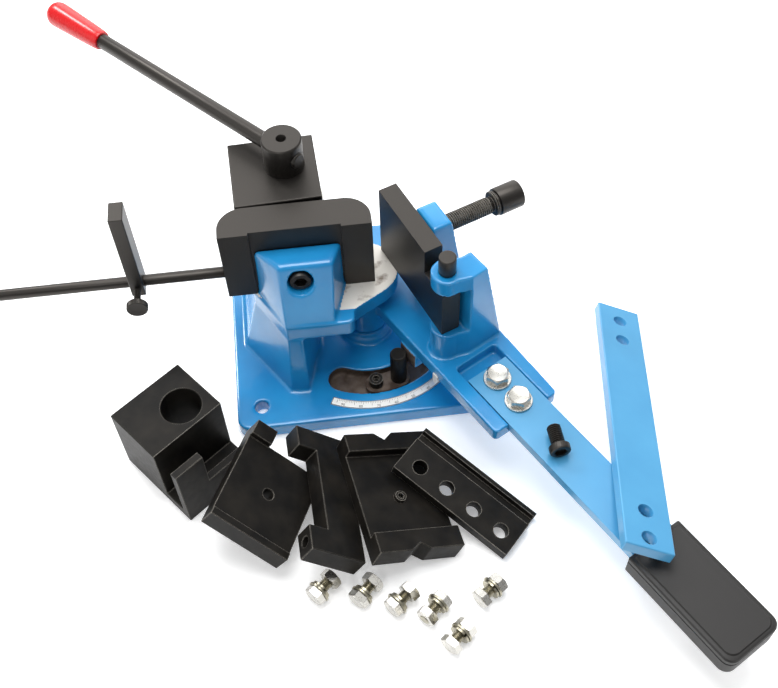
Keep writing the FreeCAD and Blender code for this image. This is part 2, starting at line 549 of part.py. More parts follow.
def hook_die():
    """Bored block with a J-shaped hook along its front face; the hook's leg steps down half way."""
    leg_y0 = -HOOK_GAP - HOOK_LEG_T
    block = box(0, HOOK_DIE_L, 0, HOOK_DIE_W, 0, HOOK_DIE_H)
    web = box(0, HOOK_DIE_L, leg_y0, 1, 0, HOOK_WEB_T)
    tall = box(0, HOOK_TALL_L, leg_y0, -HOOK_GAP, 0, HOOK_DIE_H)
    low = box(0, HOOK_DIE_L, leg_y0, -HOOK_GAP, 0, HOOK_LOW_H)
    body = block.fuse([web, tall, low]).removeSplitter()
    bore_at = (HOOK_DIE_L - 25.2, 22.5)
    body = body.cut(cylinder(HOOK_DIE_BORE_D, (*bore_at, -1), (*bore_at, HOOK_DIE_H + 1)))
    return lying(body, HOOK_DIE_PLACE)


def lip_die():
    """Flat die with a raised lip across half of its back edge and a tapped hole."""
    width, length, thick = LIP_DIE_W, LIP_DIE_L, LIP_DIE_T
    body = box(0, width, 0, length - 14.0, 0, thick - 6.0)
    body = body.fuse(box(0, 20.0, length - 15.0, length, 0, thick))
    body = body.fuse(box(0, width, 0, 7.0, 4.0, thick - 4.0)).removeSplitter()
    hole_at = (37.0, 45.0)
    return lying(body.cut(cylinder(10.0, (*hole_at, -1), (*hole_at, thick))), LIP_DIE_PLACE)


def channel_die():
    """C-shaped die: a long side with a leg at the back and a short foot with a cross hole at the front."""
    width, length, thick = CHANNEL_DIE_W, CHANNEL_DIE_L, CHANNEL_DIE_T
    leg_l, foot_l, side_w = 22.0, 24.0, 34.0
    body = box(width - side_w, width, 0, length, 0, thick)
    body = body.fuse([box(0, width, length - leg_l, length, 0, thick), box(0, width, 0, foot_l, 0, thick)])
    hole = cylinder(9.0, (-1, foot_l / 2.0, thick / 2.0), (12.0, foot_l / 2.0, thick / 2.0))
    return lying(body.removeSplitter().cut(hole), CHANNEL_DIE_PLACE)


def v_prism(mid_x, half_w, y_face, depth, height):
    return slab([(mid_x - half_w, y_face), (mid_x + half_w, y_face), (mid_x, y_face + depth)], -1, height)


def v_die():
    """Bending die with two end ribs, a V groove down each end face and a tapped hole in the recess."""
    width, length, thick = V_DIE_W, V_DIE_L, V_DIE_T
    body = box(0, width, 0, length, 0, thick)
    body = body.cut(box(-1, width + 1, 19.0, length - 17.5, thick - 9.0, thick + 1))
    body = body.cut(v_prism(38.0, 8.5, -0.01, 6.0, thick + 1))
    body = body.cut(v_prism(36.5, 8.5, length + 0.01, -7.0, thick + 1))
    screw_at = (38.0, 54.0)
    return lying(body.cut(cylinder(10.0, (*screw_at, 2.0), (*screw_at, thick))), V_DIE_PLACE)


def v_die_screw():
    """Grub screw in the tapped hole of the V die."""
    screw_at = (38.0, 54.0)
    screw = cylinder(9.9, (*screw_at, 2.2), (*screw_at, V_DIE_T - 6.0))
    socket = placed(hexagon(5.0, V_DIE_T - 11.0, V_DIE_T), Placement(Vector(*screw_at, 0), Rotation()))
    return lying(screw.cut(socket), V_DIE_PLACE)


def hole_bar():
    """Flat bar with four holes, a low ledge along its back edge and a lip on the ledge."""
    length, width, thick = HOLE_BAR_L, HOLE_BAR_W, HOLE_BAR_T
    back = width + HOLE_BAR_LEDGE
    body = box(0, length, 0, width, 0, thick)
    body = body.fuse([box(0, length, width - 1, back, 0, 4.0), box(0, length, back - 4.0, back, 0, thick)])
    body = body.removeSplitter()
    for index in range(4):
        hole_at = (18.0 + 28.6 * index, 14.8)
        body = body.cut(cylinder(13.0, (*hole_at, -1), (*hole_at, thick + 1)))
    return lying(body, HOLE_BAR_PLACE)


def extension_bar():
    """Handle extension with two holes at each end, laid across the grip with its far edge on the ground."""
    bar = box(0, EXTENSION_W, 0, EXTENSION_L, 0, EXTENSION_T)
    bar = bar.makeChamfer(0.8, bar.Edges)
    for y in EXTENSION_HOLES:
        bar = bar.cut(cylinder(13.0, (EXTENSION_W / 2.0, y, -1), (EXTENSION_W / 2.0, y, EXTENSION_T + 1)))
    return lying(bar, EXTENSION_PLACE)


def spare_cap_screw():
    """Loose low-head cap screw lying on the handle bar, head towards the front."""
    screw = socket_screw(12.0, 18.0, 6.0, 19.0, 10.0)
    along = Rotation(Z_AXIS, SPARE_SCREW_TURN).multiply(Rotation(Vector(0, 1, 0), -90))
    place = Placement(Vector(SPARE_SCREW_U, SPARE_SCREW_V, ARM_Z1 + 9.15), along)
    return on_arm(placed(screw, place))


def spare_set(build):
    """One solid for each spare bolt, drawn along +Z from the outer face of the head."""
    solids = []
    for x, y, azimuth, at_head in SPARE_BOLTS:
        along = Rotation(Z_AXIS, azimuth).multiply(Rotation(Vector(0, 1, 0), 90))
        solids.append(placed(build(at_head), Placement(Vector(x, y, M10_WASHER_D / 2.0 + 0.05), along)))
    return Part.makeCompound(solids)


def spare_bolt(_at_head):
    return hexagon(M10_AF, 0, M10_HEAD_H).fuse(cylinder(M10_D, (0, 0, 1), (0, 0, M10_LEN))).removeSplitter()


def spare_washer(at_head):
    z0 = M10_HEAD_H + 0.2 if at_head else M10_LEN - M10_NUT_H - M10_WASHER_T - 0.8
    return ring_washer(M10_WASHER_D, M10_D + 0.4, z0, z0 + M10_WASHER_T)


def spare_spring_washer(at_head):
    washer_z0 = M10_HEAD_H + 0.2 if at_head else M10_LEN - M10_NUT_H - M10_WASHER_T - 0.8
    z0 = washer_z0 + M10_WASHER_T + 0.1 if at_head else washer_z0 - M10_SPRING_T - 0.1
    return ring_washer(M10_SPRING_D, M10_D + 0.4, z0, z0 + M10_SPRING_T)


def spare_nut(_at_head):
    z0 = M10_LEN - M10_NUT_H - 0.5
    return hexagon(M10_AF, z0, z0 + M10_NUT_H).cut(cylinder(M10_D + 0.1, (0, 0, z0 - 1), (0, 0, M10_LEN + 1)))


# ---------------------------------------------------------------- write every node
NODES = {
    "base_casting": base_casting,
    "pivot_pin": pivot_pin,
    "angle_scale": angle_scale,
    "former_block": former_block,
    "former_screw": former_screw,
    "clamp_block": clamp_block,
    "cam_shaft": cam_shaft,
    "lever_rod": lever_rod,
    "lever_grip": lever_grip,
    "stop_rod": stop_rod,
    "stop_bar": stop_bar,
    "stop_thumb_screw": stop_thumb_screw,
    "stop_shoe": stop_shoe,
    "stop_pin": stop_pin,
    "stop_clamp_screw": stop_clamp_screw,
    "arm_casting": arm_casting,
    "hinge_pin": hinge_pin,
    "angle_pointer": angle_pointer,
    "handle_bar": handle_bar,
    "handle_bolts": handle_bolts,
    "handle_washers": handle_washers,
    "handle_grip": handle_grip,
    "pressing_plate": pressing_plate,
    "spindle": spindle,
    "spindle_head": spindle_head,
    "hook_die": hook_die,
    "lip_die": lip_die,
    "channel_die": channel_die,
    "v_die": v_die,
    "v_die_screw": v_die_screw,
    "hole_bar": hole_bar,
    "extension_bar": extension_bar,
    "spare_cap_screw": spare_cap_screw,
    "spare_bolts": lambda: spare_set(spare_bolt),
    "spare_washers": lambda: spare_set(spare_washer),
    "spare_spring_washers": lambda: spare_set(spare_spring_washer),
    "spare_nuts": lambda: spare_set(spare_nut),
}

if __name__ == "__main__":
    os.makedirs("parts", exist_ok=True)
    for name, build in NODES.items():
        shape = build()
        if not shape.isValid():
            raise ValueError(name + " is not a valid solid")
        shape.exportStep("parts/" + name + ".step")
        box_of = shape.BoundBox
        print(f"{name}: {len(shape.Solids)} solid(s), {shape.Volume / 1000.0:.1f} cm3, "
              f"{box_of.XLength:.1f} x {box_of.YLength:.1f} x {box_of.ZLength:.1f} mm")
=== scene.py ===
"""Visual model of a universal bench metal bender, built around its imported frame.

Every position comes from the frame or from the few driving values named here, in metres. The
castings are re-skinned with foundry-soft edges, machined pieces keep their exact shape and get a
small bevel, and fasteners get real threads and chamfered hexagons.
"""
import json
import logging
import math
from dataclasses import dataclass
from enum import Enum
from typing import Any, Callable, Iterable, Sequence

import bpy
from mathutils import Matrix, Vector


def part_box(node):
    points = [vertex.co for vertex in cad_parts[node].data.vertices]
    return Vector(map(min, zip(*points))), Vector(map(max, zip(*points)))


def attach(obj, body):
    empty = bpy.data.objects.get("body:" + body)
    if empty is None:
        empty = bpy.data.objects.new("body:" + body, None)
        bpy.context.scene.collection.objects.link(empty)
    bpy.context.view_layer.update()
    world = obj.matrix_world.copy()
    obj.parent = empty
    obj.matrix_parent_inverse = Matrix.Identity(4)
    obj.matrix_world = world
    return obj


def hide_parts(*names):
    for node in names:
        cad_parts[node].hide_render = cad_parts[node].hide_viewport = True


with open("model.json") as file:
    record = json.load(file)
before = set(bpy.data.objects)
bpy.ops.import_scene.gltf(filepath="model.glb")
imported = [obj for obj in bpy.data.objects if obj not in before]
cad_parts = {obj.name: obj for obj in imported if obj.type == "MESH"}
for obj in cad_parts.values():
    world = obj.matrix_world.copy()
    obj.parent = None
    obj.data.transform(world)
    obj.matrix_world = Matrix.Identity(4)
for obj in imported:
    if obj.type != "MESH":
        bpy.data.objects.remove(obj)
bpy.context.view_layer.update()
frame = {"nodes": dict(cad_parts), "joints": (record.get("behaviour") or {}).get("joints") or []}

LOG = logging.getLogger("metal_bender")
MM = 0.001

# Driving values shared with the part: pivot and arm frame
PIVOT = Vector((14.0, -9.5, 0.0)) * MM
ARM_AZIMUTH = math.radians(-60.1)
ARM_FRAME = Matrix.Translation(PIVOT) @ Matrix.Rotation(ARM_AZIMUTH, 4, "Z")
SCALE_R0, SCALE_R1 = 88.0 * MM, 96.0 * MM
SLOT_R0, SLOT_R1 = 54.0 * MM, 79.0 * MM

Point = tuple[float, float]
Ring = list[tuple[float, float, float]]
Socket = bpy.types.NodeSocket
Faces = list[tuple[int, ...]]
Verts = list[Vector]


# ---------------------------------------------------------------- materials
def linear(hex_colour: str) -> tuple[float, float, float, float]:
    """Turn an sRGB hex colour into linear light.

    Args:
        hex_colour: Colour as "#RRGGBB".

    Returns:
        Linear red, green and blue, with an alpha of 1.
    """
    channels = [int(hex_colour[i:i + 2], 16) / 255.0 for i in (1, 3, 5)]
    bent = [c / 12.92 if c <= 0.04045 else ((c + 0.055) / 1.055) ** 2.4 for c in channels]
    return (bent[0], bent[1], bent[2], 1.0)


def add_node(tree: bpy.types.NodeTree, kind: str, settings: dict[str, Any] | None = None,
             values: dict[str, Any] | None = None,
             links: dict[str, bpy.types.NodeSocket] | None = None) -> bpy.types.Node:
    """Add one shader node with its settings, socket values and incoming links.

    Args:
        tree: Node tree that takes the node.
        kind: Blender's name of the node type.
        settings: Attributes to set on the node itself.
        values: Constant values by input name or index.
        links: Output sockets that feed the inputs of that name or index.

    Returns:
        The new node.
    """
    node = tree.nodes.new(kind)
    for name, value in (settings or {}).items():
        setattr(node, name, value)
    for name, value in (values or {}).items():
        node.inputs[name].default_value = value
    for name, socket in (links or {}).items():
        tree.links.new(socket, node.inputs[name])
    return node


def per_metre(size_mm: float) -> float:
    """Texture scale whose features have a given size.

    Args:
        size_mm: Size of a feature in millimetres.

    Returns:
        The scale for coordinates in metres.
    """
    return 1.0 / (size_mm * MM)


@dataclass(frozen=True)
class Finish:
    """A surface finish; each subclass lays its own nodes over one Principled shader."""

    name: str
    slot: str
    colour: str
    roughness: float

    def dress(self, nodes: "Nodes") -> None:
        """Lay this finish's nodes.

        Args:
            nodes: The material's nodes.
        """
        raise NotImplementedError

    def gloss(self, less: float, more: float) -> dict[str, float]:
        """Range of roughness about this finish's own.

        Args:
            less: How far it falls.
            more: How far it rises.

        Returns:
            Ends of the range.
        """
        return {"To Min": self.roughness - less, "To Max": self.roughness + more}

    def material(self) -> bpy.types.Material:
        """Material of this finish, made on first use.

        Returns:
            The Blender material.
        """
        made = bpy.data.materials.get(self.name)
        if made is not None:
            return made
        made = bpy.data.materials.new(self.name)
        made.use_nodes = True
        tree = made.node_tree
        shader = tree.nodes["Principled BSDF"]
        shader.inputs["Base Color"].default_value = linear(self.colour)
        shader.inputs["Roughness"].default_value = self.roughness
        place = add_node(tree, "ShaderNodeTexCoord").outputs["Object"]
        self.dress(Nodes(tree, shader, place))
        return made


@dataclass
class Nodes:
    """The nodes of one material, with the wiring that the finishes share."""

    tree: bpy.types.NodeTree
    shader: bpy.types.Node
    place: Socket

    def noise(self, size_mm: float, detail: float, place: Socket | None = None) -> Socket:
        """Noise whose features have a given size.

        Args:
            size_mm: Size of a feature.
            detail: Octaves of the noise.
            place: Coordinates, the object's own if none are given.

        Returns:
            The noise.
        """
        node = add_node(self.tree, "ShaderNodeTexNoise",
                        values={"Scale": per_metre(size_mm), "Detail": detail},
                        links={"Vector": self.place if place is None else place})
        return node.outputs["Fac"]

    def span(self, value: Socket, values: dict[str, float]) -> Socket:
        """A value carried to another range.

        Args:
            value: The value.
            values: Ends of the ranges.

        Returns:
            The new value.
        """
        return add_node(self.tree, "ShaderNodeMapRange", values=values,
                        links={"Value": value}).outputs["Result"]

    def drift(self, factor: Socket, low: tuple[float, str], high: tuple[float, str]) -> Socket:
        """Colour that drifts between two tones.

        Args:
            factor: Where the surface lies between them.
            low: Position and colour of the first tone.
            high: Position and colour of the second tone.

        Returns:
            The colour.
        """
        node = add_node(self.tree, "ShaderNodeValToRGB", links={"Fac": factor})
        for stop, (position, colour) in zip(node.color_ramp.elements, (low, high)):
            stop.position = position
            stop.color = linear(colour)
        return node.outputs["Color"]

    def mix(self, factor: Socket, first: Socket | str, second: str) -> Socket:
        """Two colours mixed.

        Args:
            factor: Share of the second colour.
            first: First colour.
            second: Second colour.

        Returns:
            The mixed colour.
        """
        node = add_node(self.tree, "ShaderNodeMix", {"data_type": "RGBA"}, {7: linear(second)}, {0: factor})
        if isinstance(first, str):
            node.inputs[6].default_value = linear(first)
        else:
            self.tree.links.new(first, node.inputs[6])
        return node.outputs[2]

    def relief(self, height: Socket, strength: float, depth_mm: float) -> Socket:
        """Normal bent by a height.

        Args:
            height: The height.
            strength: Share of the effect.
            depth_mm: Depth of the relief.

        Returns:
            The normal.
        """
        return add_node(self.tree, "ShaderNodeBump",
                        values={"Strength": strength, "Distance": depth_mm * MM},
                        links={"Height": height}).outputs["Normal"]

    def edges(self, radius_mm: float, low: float, high: float) -> Socket:
        """Mask that is 1 along convex and concave edges and 0 on open faces.

        Args:
            radius_mm: How far the band reaches from an edge; on black oxide it is wear and a painted
                highlight, on zinc a painted shade.
            low: Change of normal at which the mask starts.
            high: Change of normal at which the mask is full.

        Returns:
            The mask.
        """
        soft = add_node(self.tree, "ShaderNodeBevel", {"samples": 4}, {"Radius": radius_mm * MM})
        true = add_node(self.tree, "ShaderNodeNewGeometry")
        turn = add_node(self.tree, "ShaderNodeVectorMath", {"operation": "DOT_PRODUCT"},
                        links={0: soft.outputs["Normal"], 1: true.outputs["Normal"]})
        ends = {"From Min": 1.0 - low, "From Max": 1.0 - high, "To Min": 0.0, "To Max": 1.0}
        return self.span(turn.outputs["Value"], ends)

    def plug(self, sockets: dict[str, Socket]) -> None:
        """Wire values into the Principled shader.

        Args:
            sockets: Values by the shader's input.
        """
        for name, socket in sockets.items():
            self.tree.links.new(socket, self.shader.inputs[name])


@dataclass(frozen=True)
class CastEnamel(Finish):
    """Stoving enamel sprayed on sand-cast iron: deep gloss over a softly uneven skin."""

    shade: str = "#167AB6"
    skin_mm: float = 11.0
    peel_mm: float = 1.8
    coat: float = 0.35

    def dress(self, nodes: "Nodes") -> None:
        """Broad colour drift, orange peel and the casting's skin under the gloss.

        Args:
            nodes: The material's nodes.
        """
        tone = nodes.drift(nodes.noise(60.0, 3.0), (0.3, self.shade), (0.7, self.colour))
        skin = nodes.noise(self.skin_mm, 2.0)
        peel = nodes.noise(self.peel_mm, 1.0)
        both = add_node(nodes.tree, "ShaderNodeMath", {"operation": "MULTIPLY_ADD"}, {1: 0.12},
                        {0: peel, 2: skin})
        nodes.plug({"Base Color": tone, "Normal": nodes.relief(both.outputs["Value"], 0.3, 0.3)})
        nodes.shader.inputs["Coat Weight"].default_value = self.coat
        nodes.shader.inputs["Coat Roughness"].default_value = 0.06


@dataclass(frozen=True)
class BlackOxide(Finish):
    """Hot-blackened machined steel: a brown-black oxide skin, oiled, with a light band along its edges that
    is partly rubbed-bright wear and partly a painted highlight.
    """

    cloud: str = "#23201C"
    worn: str = "#9A958C"
    wear: float = 0.9
    reach_mm: float = 1.2
    grind_mm: float = 0.45
    sheen: float = 0.12

    def dress(self, nodes: "Nodes") -> None:
        """Cloudy oxide tone, fine grinding lines and light edges, partly wear and partly a painted
        highlight.

        Args:
            nodes: The material's nodes.
        """
        tone = nodes.drift(nodes.noise(22.0, 6.0), (0.35, self.colour), (0.75, self.cloud))
        rub = nodes.noise(5.0, 5.0)
        # Light edge band: partly worn steel, partly a painted highlight on the edges.
        wear_and_highlight_band = add_node(nodes.tree, "ShaderNodeMath", {"operation": "MULTIPLY"},
                          links={0: nodes.edges(self.reach_mm, 0.01, 0.15), 1: rub})
        wear_and_highlight_mask = add_node(nodes.tree, "ShaderNodeMath", {"operation": "MULTIPLY", "use_clamp": True},
                          {1: self.wear}, {0: wear_and_highlight_band.outputs["Value"]})
        stretch = add_node(nodes.tree, "ShaderNodeMapping", values={"Scale": (1.0, 0.05, 1.0)},
                           links={"Vector": nodes.place})
        lines = nodes.noise(self.grind_mm, 2.0, stretch.outputs["Vector"])
        nodes.plug({
            "Base Color": nodes.mix(wear_and_highlight_mask.outputs["Value"], tone, self.worn),
            "Roughness": nodes.span(rub, self.gloss(0.08, 0.12)),
            "Normal": nodes.relief(lines, 0.3, 0.05),
        })
        nodes.shader.inputs["Specular IOR Level"].default_value = self.sheen


@dataclass(frozen=True)
class GroundSteel(Finish):
    """Bare cast iron, milled flat: bright with feed lines, oil stains and specks of rust."""

    rust: str = "#6B5646"
    stain_from: float = 0.56
    stain_to: float = 0.72
    metal: float = 0.55

    def dress(self, nodes: "Nodes") -> None:
        """Feed lines, brown staining in patches and scattered specks.

        Args:
            nodes: The material's nodes.
        """
        stain = nodes.span(nodes.noise(16.0, 7.0), {"From Min": self.stain_from, "From Max": self.stain_to})
        lines = add_node(nodes.tree, "ShaderNodeTexWave",
                         {"wave_type": "BANDS", "bands_direction": "DIAGONAL"},
                         {"Scale": per_metre(3.0) / 6.0, "Distortion": 1.5}, {"Vector": nodes.place})
        nodes.plug({
            "Base Color": nodes.mix(stain, self.colour, self.rust),
            "Metallic": nodes.span(stain, {"To Min": self.metal, "To Max": 0.1}),
            "Roughness": nodes.span(stain, self.gloss(0.0, 0.35)),
            "Normal": nodes.relief(lines.outputs["Fac"], 0.1, 0.04),
        })


@dataclass(frozen=True)
class ZincPlate(Finish):
    """Bright zinc electroplate on rolled steel: silver with a faint bloom and a painted shade along its
    edges and creases.
    """

    dull: str = "#4C4840"
    reach_mm: float = 0.8

    def dress(self, nodes: "Nodes") -> None:
        """Bloom in the roughness, small dents from tumbling and a painted shade along edges and creases.

        Args:
            nodes: The material's nodes.
        """
        bloom = nodes.noise(4.0, 4.0)
        # Painted shade: edges and creases, thread grooves among them, darkened towards the edge colour.
        edge = nodes.edges(self.reach_mm, 0.03, 0.3)
        nodes.plug({
            "Base Color": nodes.mix(edge, self.colour, self.dull),
            "Roughness": nodes.span(bloom, self.gloss(0.06, 0.14)),
            "Normal": nodes.relief(bloom, 0.1, 0.04),
        })
        nodes.shader.inputs["Metallic"].default_value = 1.0


@dataclass(frozen=True)
class Plastic(Finish):
    """Dipped or moulded plastic: an even colour with a slight flow texture."""

    grain_mm: float = 6.0
    relief_mm: float = 0.1
    coat: float = 0.0

    def dress(self, nodes: "Nodes") -> None:
        """Flow texture in the bump and a little unevenness in the gloss.

        Args:
            nodes: The material's nodes.
        """
        flow = nodes.noise(self.grain_mm, 3.0)
        nodes.plug({
            "Roughness": nodes.span(flow, self.gloss(0.05, 0.08)),
            "Normal": nodes.relief(flow, 0.3, self.relief_mm),
        })
        nodes.shader.inputs["Coat Weight"].default_value = self.coat


BLUE = CastEnamel("blue_enamel", "blue_paint", "#1F90CC", 0.22)
BLUE_BAR = CastEnamel("blue_enamel_on_rolled_bar", "blue_paint", "#4C9CCA", 0.3, shade="#4292C2",
                      skin_mm=25.0)
BLACK = BlackOxide("black_oxide", "black_oxide", "#0F0E0D", 0.4)
# Heavier light edge band on the dies: partly wear, partly a painted highlight.
BLACK_TOOL = BlackOxide("black_oxide_worn_edge_highlight", "black_oxide", "#100F0E", 0.42, wear=1.8)
NOSE = GroundSteel("milled_iron", "bare_steel", "#E2DED6", 0.45, metal=0.15)
SLOT_IRON = GroundSteel("stained_iron", "bare_steel", "#6A5D52", 0.45, rust="#3E2F25", stain_from=0.42,
                        stain_to=0.62, metal=0.4)
# Zinc finishes darken their edges and creases with a painted shade.
ZINC = ZincPlate("bright_zinc", "zinc_plate", "#C6C4BE", 0.24)
ZINC_DULL = ZincPlate("yellowed_zinc", "zinc_plate", "#A6A18F", 0.28, dull="#3A362C", reach_mm=0.3)
RED = Plastic("red_dipped_vinyl", "red_plastic", "#C60810", 0.26)
RUBBER = Plastic("moulded_black_rubber", "black_plastic", "#1C1A19", 0.5, grain_mm=0.9, relief_mm=0.05)
WHITE = Plastic("printed_white_strip", "scale_white", "#ECECE8", 0.4, relief_mm=0.01)
INK = Plastic("black_ink", "scale_white", "#141414", 0.5, relief_mm=0.01)


# ---------------------------------------------------------------- mesh tools
class Shape:
    """Vertices and faces of one mesh while it is being drawn."""

    def __init__(self) -> None:
        """Start with an empty mesh."""
        self.verts: Verts = []
        self.faces: Faces = []

    def add(self, other: "Shape", matrix: Matrix | None = None) -> "Shape":
        """Add another shape to this one.

        Args:
            other: Shape to copy in.
            matrix: Where it goes.

        Returns:
            This shape.
        """
        first = len(self.verts)
        place = matrix or Matrix.Identity(4)
        self.verts += [place @ v for v in other.verts]
        self.faces += [tuple(i + first for i in face) for face in other.faces]
        return self

    def bridge(self, ring_a: Sequence[int], ring_b: Sequence[int]) -> None:
        """Join two closed rings of equal length with quads.

        Args:
            ring_a: Indices of one ring.
            ring_b: Indices of the next ring.
        """
        count = len(ring_a)
        for i in range(count):
            j = (i + 1) % count
            self.faces.append((ring_a[i], ring_a[j], ring_b[j], ring_b[i]))

    def ring(self, points: Iterable[Sequence[float]]) -> list[int]:
        """Add a ring of points and return their indices.

        Args:
            points: Points of the ring.

        Returns:
            Their indices.
        """
        first = len(self.verts)
        self.verts += [Vector(p) for p in points]
        return list(range(first, len(self.verts)))

    def stack(self, rings: Sequence[Iterable[Sequence[float]]], closed: bool = False) -> "Shape":
        """Skin a list of rings, with flat caps at both ends unless the stack is closed on itself.

        Args:
            rings: Rings with the same number of points.
            closed: Join the last ring to the first and leave out the caps.

        Returns:
            This shape.
        """
        made = [self.ring(points) for points in rings]
        for lower, upper in zip(made, made[1:]):
            self.bridge(lower, upper)
        if closed:
            self.bridge(made[-1], made[0])
        else:
            self.faces.append(tuple(reversed(made[0])))
            self.faces.append(tuple(made[-1]))
        return self


def circle(radius: float, z: float, count: int = 48) -> Ring:
    """Points of a circle about the Z axis at height z.

    Args:
        radius: Radius.
        z: Height.
        count: Points round the circle.

    Returns:
        The ring's points.
    """
    turns = [2.0 * math.pi * i / count for i in range(count)]
    return [(radius * math.cos(t), radius * math.sin(t), z) for t in turns]


def lathe(profile: Sequence[Point], count: int = 48, closed: bool = False) -> Shape:
    """Turn a profile about the Z axis.

    Args:
        profile: Radius and height of each ring, from the bottom up, or round a closed section.
        count: Points in each ring.
        closed: True for a ring-shaped section.

    Returns:
        The turned shape.
    """
    return Shape().stack([circle(r, z, count) for r, z in profile], closed)


def thread(diameter: float, pitch: float, z0: float, z1: float, count: int = 32, steps: int = 8) -> Shape:
    """Screw thread about the Z axis, with chamfered ends.

    Args:
        diameter: Outer diameter.
        pitch: Rise of one turn.
        z0: Lower end.
        z1: Upper end.
        count: Points in each ring.
        steps: Rings in each pitch.

    Returns:
        The threaded rod.
    """
    outer, depth = diameter / 2.0, pitch * 0.58
    rows = max(2, int((z1 - z0) / pitch * steps))
    rings = []
    for row in range(rows + 1):
        z = z0 + (z1 - z0) * row / rows
        chamfer = max(0.0, depth - min(z - z0, z1 - z))
        points = []
        for i in range(count):
            phase = (z / pitch - i / count) % 1.0
            flank = min(1.0, max(0.0, abs(phase - 0.5) * 2.6 - 0.15))
            radius = min(outer - depth * flank, outer - chamfer)
            angle = 2.0 * math.pi * i / count
            points.append((radius * math.cos(angle), radius * math.sin(angle), z))
        rings.append(points)
    return Shape().stack(rings)


def hexagon_radius(across_flats: float, angle: float) -> float:
    """Distance from the axis to a hexagon's side in a direction.

    Args:
        across_flats: Spanner size.
        angle: Direction in radians.

    Returns:
        The distance.
    """
    sector = math.pi / 3.0
    return across_flats / 2.0 / math.cos((angle % sector) - sector / 2.0)


def hexagon_ring(across_flats: float, z: float, round_r: float, count: int = 48) -> Ring:
    """Hexagon cut back to a circle and lowered towards its corners by the 30 degree chamfer.

    Args:
        across_flats: Spanner size.
        z: Height of the flat top.
        round_r: Radius where the chamfer starts.
        count: Points in the ring.

    Returns:
        The ring's points.
    """
    points = []
    for i in range(count):
        angle = 2.0 * math.pi * i / count
        radius = hexagon_radius(across_flats, angle)
        drop = max(0.0, radius - round_r) * math.tan(math.radians(30.0))
        points.append((radius * math.cos(angle), radius * math.sin(angle), z - drop))
    return points


def mirrored(points: Ring, top: float) -> Ring:
    """The same ring measured down from the top.

    Args:
        points: Ring to turn over.
        top: Height of the whole piece.

    Returns:
        The ring's points.
    """
    return [(x, y, top - z) for x, y, z in points]


def hexagon_head(across_flats: float, height: float, both_ends: bool = False) -> Shape:
    """Hexagon head or nut blank from z 0 to its height, chamfered on top or on both ends.

    Args:
        across_flats: Spanner size.
        height: Height of the head.
        both_ends: Chamfer the lower face too.

    Returns:
        The head, closed.
    """
    flat_r = across_flats * 0.475
    top = [hexagon_ring(across_flats, height, flat_r), circle(flat_r, height)]
    dish = [circle(flat_r * 0.9, height - 0.25 * MM)]
    low_edge = [(x, y, 0.0) for x, y, _ in hexagon_ring(across_flats, 0.0, flat_r)]
    bottom = [low_edge]
    if both_ends:
        outer = (circle(flat_r, height), hexagon_ring(across_flats, height, flat_r))
        bottom = [mirrored(ring, height) for ring in outer]
    return Shape().stack(bottom + top + ([] if both_ends else dish))


def washer(outer_r: float, inner_r: float, thick: float, bevel: float) -> Shape:
    """Flat ring from z 0 with eased outer edges.

    Args:
        outer_r: Outer radius.
        inner_r: Radius of the hole.
        thick: Thickness.
        bevel: Size of the eased edge.

    Returns:
        The washer.
    """
    section = [
        (inner_r, 0.0), (outer_r - bevel, 0.0), (outer_r, bevel), (outer_r, thick - bevel),
        (outer_r - bevel, thick), (inner_r, thick),
    ]
    return lathe(section, closed=True)


def spring_washer(outer_r: float, inner_r: float, thick: float) -> Shape:
    """Split ring whose ends part by a small step.

    Args:
        outer_r: Outer radius.
        inner_r: Radius of the hole.
        thick: Thickness.

    Returns:
        The washer, open at its split.
    """
    gap, steps, lift = math.radians(14.0), 40, thick * 0.35
    rings = []
    for step in range(steps + 1):
        turn = gap / 2.0 + (2.0 * math.pi - gap) * step / steps
        rise = lift * (step / steps - 0.5)
        section = [(inner_r, rise), (outer_r, rise), (outer_r, rise + thick), (inner_r, rise + thick)]
        rings.append([(r * math.cos(turn), r * math.sin(turn), z) for r, z in section])
    return Shape().stack(rings)


def knurled_rings(profile: Sequence[tuple[float, float, float]], knurls: int) -> list[Ring]:
    """Rings of a round head with a knurled rim.

    Args:
        profile: Height, radius and depth of the knurl at each ring, in millimetres.
        knurls: Grooves round the rim.

    Returns:
        The rings, four points to each groove, in metres.
    """
    count = knurls * 4
    rings = []
    for z, radius, depth in profile:
        ring = []
        for i in range(count):
            angle = 2.0 * math.pi * i / count
            reach = (radius - depth * (0.5 - 0.5 * math.cos(angle * knurls))) * MM
            ring.append((reach * math.cos(angle), reach * math.sin(angle), z * MM))
        rings.append(ring)
    return rings


def rounded_outline(x0: float, x1: float, y0: float, y1: float, radii: Sequence[float],
                    steps: int = 8) -> list[Point]:
    """Rectangle with its own radius at each corner.

    Args:
        x0: Left side.
        x1: Right side.
        y0: Front side.
        y1: Back side.
        radii: Radii at the front left, front right, back right and back left corners.
        steps: Points along each corner.

    Returns:
        The outline, anticlockwise.
    """
    corners = [(x0, y0, 1, 1, 180.0), (x1, y0, -1, 1, 270.0), (x1, y1, -1, -1, 0.0), (x0, y1, 1, -1, 90.0)]
    outline = []
    for (x, y, sx, sy, start), radius in zip(corners, radii):
        for step in range(steps + 1):
            angle = math.radians(start + 90.0 * step / steps)
            across = x + sx * radius + radius * math.cos(angle)
            outline.append((across, y + sy * radius + radius * math.sin(angle)))
    return outline


